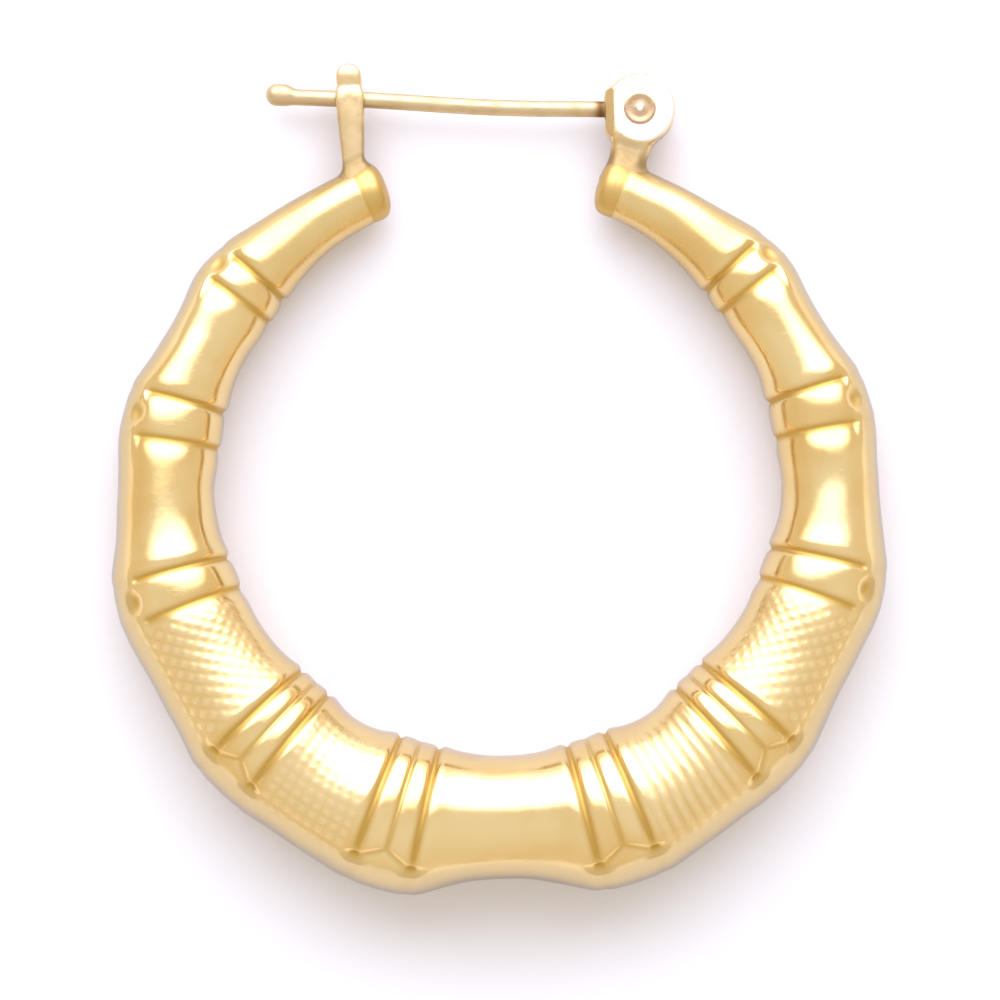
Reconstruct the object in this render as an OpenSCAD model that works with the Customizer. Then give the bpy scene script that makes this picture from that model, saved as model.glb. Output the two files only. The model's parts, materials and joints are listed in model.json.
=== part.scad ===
// Bamboo hoop earring with a hinged ear wire, lying on its side on a flat surface.
// The hoop is drawn flat in its own plane, with its centre at the origin, its thick
// stretch at -Y and its closure at +Y. It is then laid down on the lips it rests on.
// Lengths are in millimetres and angles in degrees.

/* [Hoop] */
// Radius of the hoop's centre line at its thickest knots
hoop_r = 16.9; // [15.5:0.1:18.5]
// Radius of the tube over the lips of its thickest knots
tube_r = 3.85; // [3.5:0.05:4.1]
// Thickness of the tube's metal
wall = 0.24; // [0.2:0.02:0.3]
// How far the end caps bulge
cap_dome = 0.35; // [0.2:0.05:0.5]

/* [Knots] */
// Width of the lip beside each groove
lip_w = 0.28; // [0.2:0.02:0.4]
// Depth of the two grooves that bound a knot
groove_depth = 0.3; // [0.2:0.02:0.34]
// How far the knot's two beads lie below its lips
bead_drop = 0.08; // [0:0.02:0.16]
// Depth of the fine line between the two beads
line_depth = 0.18; // [0.1:0.02:0.3]

/* [Ear wire] */
// Diameter of the ear wire
wire_d = 0.8; // [0.7:0.05:0.85]
// Length of the wire from its pivot to its tip
wire_l = 18.55; // [17.5:0.1:20]
// How much the wire rises towards its free end when closed
wire_rise = 3.3; // [2:0.1:4.5]
// Radius of the rounded tip
tip_r = 0.48; // [0.42:0.02:0.52]
// How far the rounded tip stands above the wire's axis
tip_lift = 0.1; // [0:0.02:0.12]
// Radius of the flat eye at the pivot
eye_r = 1.1; // [0.9:0.05:1.2]
// Thickness of the flat eye
eye_t = 0.7; // [0.6:0.05:0.75]

/* [Hinge] */
// Distance of the pivot from the hoop's middle line, to the right
pivot_x = 7.39; // [7:0.05:7.8]
// Height of the pivot above the hoop's centre
pivot_y = 18.62; // [18.3:0.02:19]
// Radius of the two round ears
ear_r = 1.75; // [1.6:0.05:1.9]
// Thickness of one ear
ear_t = 0.4; // [0.3:0.05:0.5]
// Radius of the neck that carries the ears
neck_r = 0.9; // [0.7:0.05:1.1]
// Radius of the rivet's shank
rivet_r = 0.4; // [0.35:0.05:0.45]
// Radius of the rivet's heads
head_r = 0.79; // [0.65:0.02:0.9]
// Height of a rivet head
head_h = 0.24; // [0.15:0.01:0.3]
// Clearance of the rivet in the wire's eye
run_gap = 0.05; // [0.03:0.01:0.08]

/* [Catch] */
// Distance of the catch from the pivot, along the closed wire
catch_s = 14.4; // [14.2:0.05:14.6]
// Lean of the catch towards the left
catch_lean = 2; // [0:0.5:4]
// Thickness of one prong
prong_t = 0.35; // [0.3:0.05:0.45]
// Height of the prongs above the wire's axis
prong_h = 1.52; // [1.3:0.02:1.7]
// Radius of the round tips of the prongs
prong_tip_r = 0.44; // [0.38:0.02:0.5]
// Half the width of the prongs beside the wire
prong_belly_r = 0.62; // [0.55:0.01:0.7]
// Half the width of the stem
stem_r = 0.54; // [0.48:0.02:0.6]
// Width of the slot that the wire drops into
slot_w = 0.92; // [0.9:0.02:1]

/* [Hidden] */
gold = [0.86, 0.66, 0.36];
$fn = 48;

// The tube, a row for each knot from the bottom to the closure, then one for the end.
// Both halves of the hoop are alike. Radii are shares of hoop_r or of tube_r.
// ANGLE: degrees from the bottom. CENTRE: centre line at the knot.
// THICK, THIN: radius over the lip on the thicker and on the thinner side.
// BAND: half the knot's width in millimetres, from its middle to a groove.
// WAIST, WAIST_CENTRE: tube and centre line midway along the stretch before the knot.
ANGLE = 0;
CENTRE = 1;
THICK = 2;
THIN = 3;
BAND = 4;
WAIST = 5;
WAIST_CENTRE = 6;
rows = [
    [ 18.0, 1.000, 0.985, 1.000, 1.25, 0.792, 0.964],
    [ 44.0, 0.991, 0.950, 0.940, 1.10, 0.900, 1.001],
    [ 73.0, 0.987, 0.831, 0.790, 0.95, 0.800, 0.983],
    [102.5, 0.969, 0.680, 0.642, 1.05, 0.631, 0.974],
    [129.5, 0.953, 0.595, 0.545, 0.75, 0.532, 0.950],
    [159.5, 0.947, 0.390, 0.390, 0.00, 0.400, 0.944],
];
knots = len(rows) - 1;
// How sharply a stretch flares at its lips: 2 is a plain bow
flare = 2.3;

sides = 28;
steps = 6;
void_sides = 16;
void_steps = 4;
// Where the rings of a knot stand, as shares of its half width, and their depths
bead_at = 0.52;
knot_rings = [
    [-1, groove_depth], [-bead_at, bead_drop], [0, line_depth],
    [bead_at, bead_drop], [1, groove_depth],
];
// Angles at which the rings of an end cap are taken on its dome
cap_angles = [25, 50, 72];

wire_r = wire_d / 2;
ear_gap = slot_w;
ear_out = ear_gap / 2 + ear_t;
prong_out = slot_w / 2 + prong_t;
seat_gap = 0.02;

function mix(a, b, t) = a + (b - a) * t;
function turn(length, r) = length / r * 180 / PI;
function centre_of(k) = rows[k][CENTRE] * hoop_r;
function lip_turn(k) = k < knots ? turn(rows[k][BAND] + lip_w, centre_of(k)) : 0;

// Stretch k runs up to row k. Stretch 0 is the bottom one, whose start mirrors its end
function start_angle(k) = k == 0 ? -end_angle(0) : rows[k - 1][ANGLE] + lip_turn(k - 1);
function end_angle(k) = rows[k][ANGLE] - lip_turn(k);
function start_lip(k) = (k == 0 ? rows[0][THICK] : rows[k - 1][THIN]) * tube_r;
function end_lip(k) = rows[k][THICK] * tube_r;
function start_centre(k) = k == 0 ? centre_of(0) : centre_of(k - 1);

function bow(t) = 1 - pow(abs(2 * t - 1), flare);
function stretch_r(k, t) =
    let (a = start_lip(k), b = end_lip(k), waist = rows[k][WAIST] * tube_r)
    mix(a, b, t) - (mix(a, b, 0.5) - waist) * bow(t);
function stretch_centre(k, t) =
    let (a = start_centre(k), b = centre_of(k), waist = rows[k][WAIST_CENTRE] * hoop_r)
    mix(a, b, t) + (waist - mix(a, b, 0.5)) * 4 * t * (1 - t);

// A ring is [angle from the bottom, radius of the centre line, radius of the tube]
function stretch_ring(k, t, less) =
    [mix(start_angle(k), end_angle(k), t), stretch_centre(k, t), stretch_r(k, t) - less];
function knot_ring(k, place, depth) =
    let (lips = mix(rows[k][THICK], rows[k][THIN], (place + 1) / 2) * tube_r)
    [rows[k][ANGLE] + turn(place * rows[k][BAND], centre_of(k)), centre_of(k), lips - depth];

outer_half = [
    for (k = [0:knots])
        each concat(
            [for (i = [k == 0 ? steps / 2 : 0:steps]) stretch_ring(k, i / steps, 0)],
            k < knots ? [for (g = knot_rings) knot_ring(k, g[0], g[1])] : []
        ),
    for (a = cap_angles)
        [
            rows[knots][ANGLE] + turn(cap_dome * sin(a), centre_of(knots)),
            centre_of(knots),
            rows[knots][THICK] * tube_r * cos(a),
        ],
];

// The hollow keeps the wall's thickness below the grooves as well
function void_less(i) = wall + (i == 0 || i == void_steps ? groove_depth : 0);
void_half = [
    for (k = [0:knots])
        for (i = [k == 0 ? void_steps / 2 : 0:void_steps])
            k == knots && i == void_steps
                ? stretch_ring(k, 0.96, wall)
                : stretch_ring(k, i / void_steps, void_less(i)),
];

// Both halves as one run of rings, from the left end to the right one
function both_halves(half) = concat(
    [for (i = [len(half) - 1:-1:1]) [-half[i][0], half[i][1], half[i][2]]],
    half
);

function ring_point(ring, a) =
    let (reach = ring[1] + ring[2] * cos(a))
    [reach * sin(ring[0]), -reach * cos(ring[0]), ring[2] * sin(a)];

module swept(rings, n) {
    last = len(rings) - 1;
    points = [for (ring = rings, j = [0:n - 1]) ring_point(ring, 360 * j / n)];
    walls = [
        for (i = [0:last - 1], j = [0:n - 1])
            let (a = i * n + j, b = i * n + (j + 1) % n)
                each [[a, b + n, a + n], [a, b, b + n]],
    ];
    ends = [[for (j = [n - 1:-1:0]) j], [for (j = [0:n - 1]) last * n + j]];
    polyhedron(points, concat(walls, ends));
}

// Outline around two round ends, with straight sides that touch both
module tapered(p, p_r, q, q_r) {
    way = q - p;
    heading = atan2(way.y, way.x);
    lean = acos((p_r - q_r) / norm(way));
    sides_at = [heading + lean, heading - lean];
    touch = [for (a = sides_at) [cos(a), sin(a)]];
    translate(p) circle(p_r);
    translate(q) circle(q_r);
    polygon([p + p_r * touch[0], q + q_r * touch[0], q + q_r * touch[1], p + p_r * touch[1]]);
}

// The closure

pivot = [pivot_x, pivot_y];
wire_dir = [-cos(wire_rise), sin(wire_rise)];
catch_at = pivot + catch_s * wire_dir;
// The neck and the stem reach the tube's outside this far from the hoop's centre
foot_r = centre_of(knots) + rows[knots][THICK] * tube_r;
// How deep they are sunk into the solder at the tube, less than the wall's thickness
sink = 0.2;
neck_angle = 22.6;
neck_at = (foot_r + neck_r - 0.75) * [sin(neck_angle), cos(neck_angle)];
stem_len = catch_at.y - foot_r * cos(asin(catch_at.x / foot_r)) + sink;
eye_room = eye_r + 0.2;

// The tube's solid outside, without its hollow
module tube_outside() swept(both_halves(outer_half), sides);

// Two ears on a neck, open above the neck for the wire's eye
module ears() {
    difference() {
        linear_extrude(2 * ear_out, center = true) tapered(pivot, ear_r, neck_at, neck_r);
        linear_extrude(ear_gap, center = true) {
            translate(pivot) circle(eye_room);
            translate(pivot - [2 * ear_r, eye_room]) square(4 * ear_r);
        }
        translate(pivot) cylinder(h = 4 * ear_out, r = rivet_r + seat_gap, center = true);
    }
}

// Flat stem with two prongs that hold the wire between them
module fork() {
    translate(catch_at) rotate(catch_lean)
        difference() {
            linear_extrude(2 * prong_out, center = true) {
                tapered([0, prong_h - prong_tip_r], prong_tip_r, [0, 0], prong_belly_r);
                tapered([0, 0], prong_belly_r, [0, -stem_len], stem_r);
            }
            rotate(-wire_rise - catch_lean)
                translate([-prong_belly_r * 2, -wire_r - run_gap, -slot_w / 2])
                    cube([prong_belly_r * 4, prong_h * 2, slot_w]);
        }
}

// Lying on its side: it rests on the thin lips of the second knots and on the thick
// lips of the fifth, so its closure lies lower than its middle

front_lip = [-centre_of(1) * cos(rows[1][ANGLE] + lip_turn(1)), rows[1][THIN] * tube_r];
back_lip = [-centre_of(4) * cos(rows[4][ANGLE] - lip_turn(4)), rows[4][THICK] * tube_r];
rest_tilt = atan2(front_lip.y - back_lip.y, back_lip.x - front_lip.x);
rest_h = front_lip.y * cos(rest_tilt) + front_lip.x * sin(rest_tilt);
// The box's middle along Y, between the thickest lips and the prongs' tips
top_y = catch_at.y + prong_h * cos(catch_lean);
bottom_y = -(centre_of(0) + end_lip(0)) * cos(end_angle(0));
rest_y = -(top_y + bottom_y) / 2 * cos(rest_tilt);

module laid() translate([0, rest_y, rest_h]) rotate([-rest_tilt, 0, 0]) children();

// Nodes

module hoop() {
    color(gold)
        laid()
            difference() {
                union() {
                    tube_outside();
                    ears();
                    fork();
                }
                swept(both_halves(void_half), void_sides);
            }
}

module ear_wire() {
    straight_from = ear_r + 0.15;
    straight_to = catch_s - prong_belly_r - 0.2;
    flat_to = catch_s + prong_belly_r + 0.15;
    color(gold)
        laid()
            translate(pivot)
                rotate(180 - wire_rise)
                    difference() {
                        union() {
                            // Flat eye and the tang that joins it to the round wire
                            linear_extrude(eye_t, center = true)
                                tapered([0, 0], eye_r, [straight_from + 0.1, 0], wire_r * 0.8);
                            // Straight round wire that goes through the ear
                            translate([straight_from, 0, 0])
                                rotate([0, 90, 0])
                                    cylinder(h = straight_to - straight_from, r = wire_r);
                            // Flattened stretch between the prongs
                            translate([straight_to, 0, 0])
                                rotate([0, 90, 0])
                                    rotate(22.5)
                                        cylinder(h = flat_to - straight_to, r = wire_r, $fn = 8);
                            // Free end with its rounded tip
                            translate([flat_to, 0, 0])
                                rotate([0, 90, 0])
                                    cylinder(h = wire_l - tip_r - flat_to, r = wire_r);
                            translate([wire_l - tip_r, -tip_lift, 0]) sphere(tip_r);
                        }
                        cylinder(h = 2 * eye_t, r = rivet_r + run_gap, center = true);
                    }
}

module hinge_rivet() {
    inside = ear_out + seat_gap;
    color(gold)
        laid()
            translate(pivot)
                rotate_extrude()
                    polygon([
                        [0, -inside - head_h],
                        [head_r * 0.6, -inside - head_h * 0.85],
                        [head_r, -inside - head_h * 0.35],
                        [head_r, -inside],
                        [rivet_r, -inside],
                        [rivet_r, inside],
                        [head_r, inside],
                        [head_r, inside + head_h * 0.35],
                        [head_r * 0.6, inside + head_h * 0.85],
                        [0, inside + head_h],
                    ]);
}

hoop();
ear_wire();
hinge_rivet();
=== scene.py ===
"""Visual model of a bamboo hoop earring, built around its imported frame.

The earring is worked out in the hoop's own plane, in millimetres: the hoop's centre is the
origin, its thick stretch is at -Y, its closure at +Y and its front at +Z. It is then laid
down on the floor as the frame lies.
"""

from __future__ import annotations

import json
import logging
import math
from collections.abc import Callable
from dataclasses import dataclass, field
from enum import Enum

import bpy
import numpy as np
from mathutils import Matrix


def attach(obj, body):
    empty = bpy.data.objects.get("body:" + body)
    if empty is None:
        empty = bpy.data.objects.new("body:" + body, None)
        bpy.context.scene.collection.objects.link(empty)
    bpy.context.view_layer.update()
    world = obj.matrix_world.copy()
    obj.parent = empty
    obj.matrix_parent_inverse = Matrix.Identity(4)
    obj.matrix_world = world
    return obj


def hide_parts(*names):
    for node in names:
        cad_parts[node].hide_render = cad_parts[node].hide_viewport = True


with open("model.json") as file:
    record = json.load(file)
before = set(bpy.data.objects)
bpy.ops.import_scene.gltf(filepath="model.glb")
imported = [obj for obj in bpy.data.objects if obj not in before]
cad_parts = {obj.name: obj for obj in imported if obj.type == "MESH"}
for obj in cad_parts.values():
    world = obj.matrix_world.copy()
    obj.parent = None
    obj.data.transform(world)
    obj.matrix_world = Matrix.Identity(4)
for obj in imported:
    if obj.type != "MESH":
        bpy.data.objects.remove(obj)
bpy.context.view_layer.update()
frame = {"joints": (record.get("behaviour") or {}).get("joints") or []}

# Metres in a millimetre
MM = 0.001

# Middle of the hinge in the hoop's plane, in millimetres
PIVOT = (7.39, 18.62)

# Share just below 1, which keeps a rounding from ending in a point
NEARLY = 0.999

log = logging.getLogger("earring")

Colour = tuple[float, float, float]
Distance = Callable[[np.ndarray], np.ndarray]
Shape = tuple[np.ndarray, list, dict[str, np.ndarray]]


# Small formulas that the shapes share


def mix(a: float, b: float, share: float) -> float:
    """Value between a and b; works on arrays too."""
    return a + (b - a) * share


def ease(x: np.ndarray, low: float, high: float) -> np.ndarray:
    """Soft step from 0 at low to 1 at high."""
    share = np.clip((x - low) / (high - low), 0.0, 1.0)
    return share * share * (3.0 - 2.0 * share)


def furrow(offset: np.ndarray, width: float) -> np.ndarray:
    """Round-bottomed furrow: 1 in its middle, a third of that at its half width."""
    return np.exp(-np.square(offset / width))


def join(a: np.ndarray, b: np.ndarray, fillet: float) -> np.ndarray:
    """Distance to two solids joined with a soft fillet."""
    share = np.clip(0.5 + 0.5 * (b - a) / fillet, 0.0, 1.0)
    return mix(b, a, share) - fillet * share * (1.0 - share)


def cut(solid: np.ndarray, tool: np.ndarray, edge: float) -> np.ndarray:
    """Distance to a solid from which a tool was cut, with its new edges rounded."""
    return -join(-solid, tool, edge)


def keep(solid: np.ndarray, room: np.ndarray, edge: float) -> np.ndarray:
    """Distance to the part of a solid that lies in a room, with rounded edges."""
    return -join(-solid, -room, edge)


def bar_outline(
    points: np.ndarray, start: np.ndarray, start_r: float, end: np.ndarray, end_r: float
) -> np.ndarray:
    """Distance in the XY plane to a bar with two round ends.

    Args:
        points: points whose X and Y count.
        start: middle of the first round end.
        start_r: its radius.
        end: middle of the second round end.
        end_r: its radius.

    Returns:
        Distances, negative inside the bar.
    """
    way = end - start
    length = float(np.hypot(*way))
    axis = way / length
    rel = points[..., :2] - start
    along = rel @ axis
    across = np.abs(rel[..., 0] * axis[1] - rel[..., 1] * axis[0])
    lean = (start_r - end_r) / length
    rest = math.sqrt(1.0 - lean * lean)
    side = rest * along - lean * across
    body = rest * across + lean * along - start_r
    first = np.hypot(across, along) - start_r
    last = np.hypot(across, along - length) - end_r
    return np.where(side < 0.0, first, np.where(side > rest * length, last, body))


def plate(outline: np.ndarray, height: np.ndarray, half: float, rounding: float) -> np.ndarray:
    """Distance to a flat plate of a given outline.

    Args:
        outline: distance to the outline in the plate's plane.
        height: height above the plate's middle plane.
        half: half of the plate's thickness.
        rounding: radius of its edges.

    Returns:
        Distances, negative inside the plate.
    """
    side = outline + rounding
    top = np.abs(height) - half + rounding
    within = np.minimum(np.maximum(side, top), 0.0)
    return within + np.hypot(np.maximum(side, 0.0), np.maximum(top, 0.0)) - rounding


def spread(places: np.ndarray, shares: np.ndarray, extra: int = 0) -> np.ndarray:
    """Picks places that lie a wanted spacing apart.

    Args:
        places: fine places to pick from.
        shares: from each place to the next, as a share of the spacing wanted there.
        extra: how many more places than whole spacings there are.

    Returns:
        The picked places, with the first and the last one among them.
    """
    steps = np.concatenate([[0.0], np.cumsum(shares)])
    return np.interp(np.linspace(0.0, steps[-1], round(steps[-1]) + extra), steps, places)


def skin_faces(rings: int, count: int) -> list:
    """Faces of a closed skin over a row of rings that ends in a pole on either side.

    Args:
        rings: how many rings there are.
        count: corners of each ring; the two poles come after the last ring.

    Returns:
        Corner numbers of each face.
    """
    row = np.arange(count)
    after = (row + 1) % count
    faces = []
    for low in range(0, (rings - 1) * count, count):
        high = low + count
        quads = np.stack([low + row, high + row, high + after, low + after], axis=1)
        faces.extend(quads.tolist())
    top = (rings - 1) * count
    first, last = (np.full(count, rings * count + end) for end in range(2))
    faces.extend(np.stack([first, row, after], axis=1).tolist())
    faces.extend(np.stack([top + row, last, top + after], axis=1).tolist())
    return faces


# Where the earring lies, and how meshes are made


@dataclass(frozen=True)
class Lie:
    """How the hoop's plane lies on the floor, read from the hinge of the frame.

    Attributes:
        tilt: how far the closure dips, in radians.
        shift: place of the hoop's centre, in millimetres.
    """

    tilt: float
    shift: np.ndarray

    @classmethod
    def from_hinge(cls, joint: dict, pivot: np.ndarray) -> Lie:
        """Reads the lie from a joint whose axis is the hoop's own -Z.

        Args:
            joint: the hinge, as the frame gives it.
            pivot: its place in the hoop's plane, in millimetres.

        Returns:
            The lie of the hoop.
        """
        axis = joint["axis"]
        tilt = math.atan2(-axis[1], -axis[2])
        unplaced = cls(tilt, np.zeros(3))
        at = np.array([pivot[0], pivot[1], 0.0])
        shift = np.array(joint["pos_m"]) / MM - unplaced.turned(at)
        return cls(tilt, shift)

    def turned(self, points: np.ndarray) -> np.ndarray:
        """Points turned from the hoop's plane to the lie, still about its centre."""
        c, s = math.cos(self.tilt), math.sin(self.tilt)
        return points @ np.array([[1.0, 0.0, 0.0], [0.0, c, -s], [0.0, s, c]])

    def placed(self, points: np.ndarray) -> np.ndarray:
        """Points of the hoop's plane in the frame, in metres."""
        return (self.turned(points) + self.shift) * MM


@dataclass(frozen=True)
class Piece:
    """One visible piece of the earring and what the frame needs to know of it.

    Attributes:
        name: name of the object.
        body: body that it moves with.
        slot: material slot of the record; not used.
        stands_for: nodes of the frame that it replaces.
    """

    name: str
    body: str
    slot: str
    stands_for: tuple[str, ...]

    def make(
        self,
        points: np.ndarray,
        faces: list,
        marks: dict[str, np.ndarray],
        lie: Lie,
        finish: GoldFinish,
    ) -> bpy.types.Object:
        """Makes the piece's mesh, dresses it and hangs it on its body.

        Args:
            points: corners in the hoop's plane, in millimetres.
            faces: corner numbers of each face.
            marks: values for each corner that the finish reads, by name.
            lie: how the hoop lies.
            finish: the gold that it is dressed in.

        Returns:
            The new object.
        """
        mesh = bpy.data.meshes.new(self.name)
        mesh.from_pydata(lie.placed(points).tolist(), [], faces)
        mesh.shade_smooth()
        mesh.materials.append(finish.material())
        for name, values in marks.items():
            mark = mesh.attributes.new(name, "FLOAT", "POINT")
            mark.data.foreach_set("value", values.astype(np.float32).ravel())
        obj = bpy.data.objects.new(self.name, mesh)
        bpy.context.scene.collection.objects.link(obj)
        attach(obj, self.body)
        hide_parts(*self.stands_for)
        triangles = sum(len(face) - 2 for face in faces)
        log.info("%s: %d points, %d triangles", self.name, len(points), triangles)
        return obj


@dataclass(frozen=True)
class SoftCaster:
    """Turns a distance field into an even, closed mesh, as metal fills a mould.

    Attributes:
        cell: size of a grid cell, in millimetres.
        settle: rounds of evening out and of moving corners onto the surface.
        probe: how far beside a corner the field's slope is taken, in cells.
        gentlest: smallest squared slope that counts, so that no corner jumps.
    """

    cell: float = 0.045
    settle: int = 3
    probe: float = 0.2
    gentlest: float = 0.1

    def cast(
        self, distance: Distance, low: tuple[float, ...], high: tuple[float, ...]
    ) -> tuple[np.ndarray, list]:
        """Meshes the surface where a distance field is zero.

        Args:
            distance: the field, which gives a distance for each point.
            low: lowest corner of the room that is searched.
            high: its highest corner.

        Returns:
            Corners of the mesh, and its faces.
        """
        axes = [np.arange(a, b + self.cell, self.cell) for a, b in zip(low, high)]
        values = distance(np.stack(np.meshgrid(*axes, indexing="ij"), axis=-1))
        number, points = self._corners(values)
        points = points * self.cell + np.array(low)
        quads = self._quads(values < 0.0, number)
        for _ in range(self.settle):
            points = self._evened(points, quads)
            points = self._on_surface(points, distance)
        return points, quads.tolist()

    def _corners(self, values: np.ndarray) -> tuple[np.ndarray, np.ndarray]:
        """Places one corner in each cell that the surface crosses.

        Args:
            values: distances at the grid's nodes.

        Returns:
            Number of each cell's corner, or -1, and the corners in cells.
        """
        shape = tuple(n - 1 for n in values.shape)
        total = np.zeros(shape + (3,))
        count = np.zeros(shape)
        for axis in range(3):
            for across in range(4):
                start = [0, 0, 0]
                start[(axis + 1) % 3] = across % 2
                start[(axis + 2) % 3] = across // 2
                end = list(start)
                end[axis] = 1
                first, last = (
                    values[tuple(slice(o, o + n) for o, n in zip(at, shape))]
                    for at in (start, end)
                )
                crossed = (first < 0.0) != (last < 0.0)
                share = first[crossed] / (first[crossed] - last[crossed])
                step = np.zeros((len(share), 3))
                step[:, axis] = share
                total[crossed] += np.array(start) + step
                count[crossed] += 1
        used = count > 0
        number = np.full(shape, -1)
        number[used] = np.arange(int(used.sum()))
        return number, np.argwhere(used) + total[used] / count[used][:, None]

    def _quads(self, inside: np.ndarray, number: np.ndarray) -> np.ndarray:
        """Spans a face around each grid edge that the surface crosses.

        Args:
            inside: which nodes of the grid lie in the solid.
            number: number of each cell's corner.

        Returns:
            Corner numbers of each face.
        """
        found = []
        for axis in range(3):
            b, c = (axis + 1) % 3, (axis + 2) % 3
            low = [slice(None)] * 3
            low[axis] = slice(None, -1)
            low[b] = low[c] = slice(1, -1)
            high = list(low)
            high[axis] = slice(1, None)
            below = inside[tuple(low)]
            crossed = below != inside[tuple(high)]
            cells = np.argwhere(crossed)
            cells[:, [b, c]] += 1
            ring = []
            for db, dc in ((-1, -1), (0, -1), (0, 0), (-1, 0)):
                near = cells.copy()
                near[:, b] += db
                near[:, c] += dc
                ring.append(number[tuple(near.T)])
            quads = np.stack(ring, axis=1)
            turned = ~below[crossed]
            quads[turned] = quads[turned][:, ::-1]
            found.append(quads)
        return np.concatenate(found)

    def _evened(self, points: np.ndarray, quads: np.ndarray) -> np.ndarray:
        """Moves each corner to the middle of the faces around it.

        Args:
            points: the corners.
            quads: corner numbers of each face.

        Returns:
            The moved corners.
        """
        middles = points[quads].mean(axis=1)
        total = np.zeros_like(points)
        count = np.zeros(len(points))
        for column in quads.T:
            np.add.at(total, column, middles)
            np.add.at(count, column, 1)
        return total / count[:, None]

    def _on_surface(self, points: np.ndarray, distance: Distance) -> np.ndarray:
        """Moves corners along the field's slope onto the surface.

        Args:
            points: the corners.
            distance: the field.

        Returns:
            The moved corners.
        """
        step = self.cell * self.probe
        slope = np.zeros_like(points)
        for axis in range(3):
            offset = np.zeros(3)
            offset[axis] = step
            rise = distance(points + offset) - distance(points - offset)
            slope[:, axis] = rise / (2 * step)
        steep = np.maximum(np.square(slope).sum(axis=1), self.gentlest)
        move = np.clip(distance(points) / steep, -self.cell, self.cell)
        return points - slope * move[:, None]


@dataclass(kw_only=True)
class Part:
    """A part of the earring, from its sizes to the finished object.

    Attributes:
        lie: how the hoop lies.
        piece: name and place of the part's mesh.
        caster: what meshes it, where its shape is a distance field.
    """

    lie: Lie
    piece: Piece
    caster: SoftCaster = SoftCaster()

    def shape(self) -> Shape:
        """Corners in the hoop's plane, faces and marks; each kind of part has its own."""
        raise NotImplementedError

    def build(self, finish: GoldFinish) -> bpy.types.Object:
        """Makes the part, dressed in a gold, and returns the new object."""
        return self.piece.make(*self.shape(), self.lie, finish)


# Finishes


class Board:
    """Adds and links the nodes of one material, or of the room's light."""

    def __init__(self, owner: bpy.types.Material | bpy.types.World) -> None:
        """Starts an empty board.

        Args:
            owner: the new material or world that the nodes belong to.
        """
        self.owner = owner
        owner.use_nodes = True
        self.tree = owner.node_tree
        self.tree.nodes.clear()

    def add(self, kind: str, values: dict | None = None, **settings: object) -> bpy.types.Node:
        """Adds a node.

        Args:
            kind: type of the node, without its ShaderNode prefix.
            values: for each input, by name or number, a value or an output to link.
            settings: the node's own settings.

        Returns:
            The new node.
        """
        node = self.tree.nodes.new("ShaderNode" + kind)
        for name, value in settings.items():
            setattr(node, name, value)
        for name, value in (values or {}).items():
            if isinstance(value, bpy.types.NodeSocket):
                self.tree.links.new(value, node.inputs[name])
            else:
                node.inputs[name].default_value = value
        return node

    def maths(self, operation: str, *values: object) -> bpy.types.NodeSocket:
        """Result of one sum on numbers or outputs."""
        return self.add("Math", dict(enumerate(values)), operation=operation).outputs[0]

    def ranged(
        self,
        value: bpy.types.NodeSocket,
        low: float,
        high: float,
        to: tuple[float, float] = (0.0, 1.0),
    ) -> bpy.types.NodeSocket:
        """Maps a value softly from one range to another.

        Args:
            value: output to map.
            low: its value where the result starts.
            high: its value where the result ends.
            to: first and last result.

        Returns:
            The mapped output.
        """
        values = {"Value": value, "From Min": low, "From Max": high, "To Min": to[0], "To Max": to[1]}
        return self.add("MapRange", values, interpolation_type="SMOOTHSTEP").outputs[0]

    def blend(
        self, share: bpy.types.NodeSocket, first: object, last: object
    ) -> bpy.types.NodeSocket:
        """Mixes two colours.

        Args:
            share: output that is 0 for the first colour and 1 for the last.
            first: a colour, or an output that gives one.
            last: the same for the other end.

        Returns:
            The mixed colour.
        """
        node = self.add("Mix", {"Factor": share}, data_type="RGBA")
        for name, colour in (("A", first), ("B", last)):
            socket = next(s for s in node.inputs if s.name == name and s.type == "RGBA")
            if isinstance(colour, bpy.types.NodeSocket):
                self.tree.links.new(colour, socket)
            else:
                socket.default_value = (*colour, 1.0)
        return next(s for s in node.outputs if s.type == "RGBA")

    def noise(
        self, at: bpy.types.NodeSocket, size_mm: float, detail: float = 2.0, rough: float = 0.5
    ) -> bpy.types.NodeSocket:
        """Smooth noise whose patches are about as large as named."""
        values = {"Vector": at, "Scale": 1.0 / (size_mm * MM), "Detail": detail, "Roughness": rough}
        return self.add("TexNoise", values).outputs[0]

    def mark(self, name: str) -> bpy.types.NodeSocket:
        """Value that the mesh carries for each of its corners."""
        return self.add("Attribute", attribute_name=name).outputs["Fac"]

    def dress(self, values: dict) -> bpy.types.Material:
        """Ends the material with its shader.

        Args:
            values: for each input of the shader, a value or an output to link.

        Returns:
            The finished material.
        """
        shader = self.add("BsdfPrincipled", values)
        self.add("OutputMaterial", {"Surface": shader.outputs[0]})
        return self.owner


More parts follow.
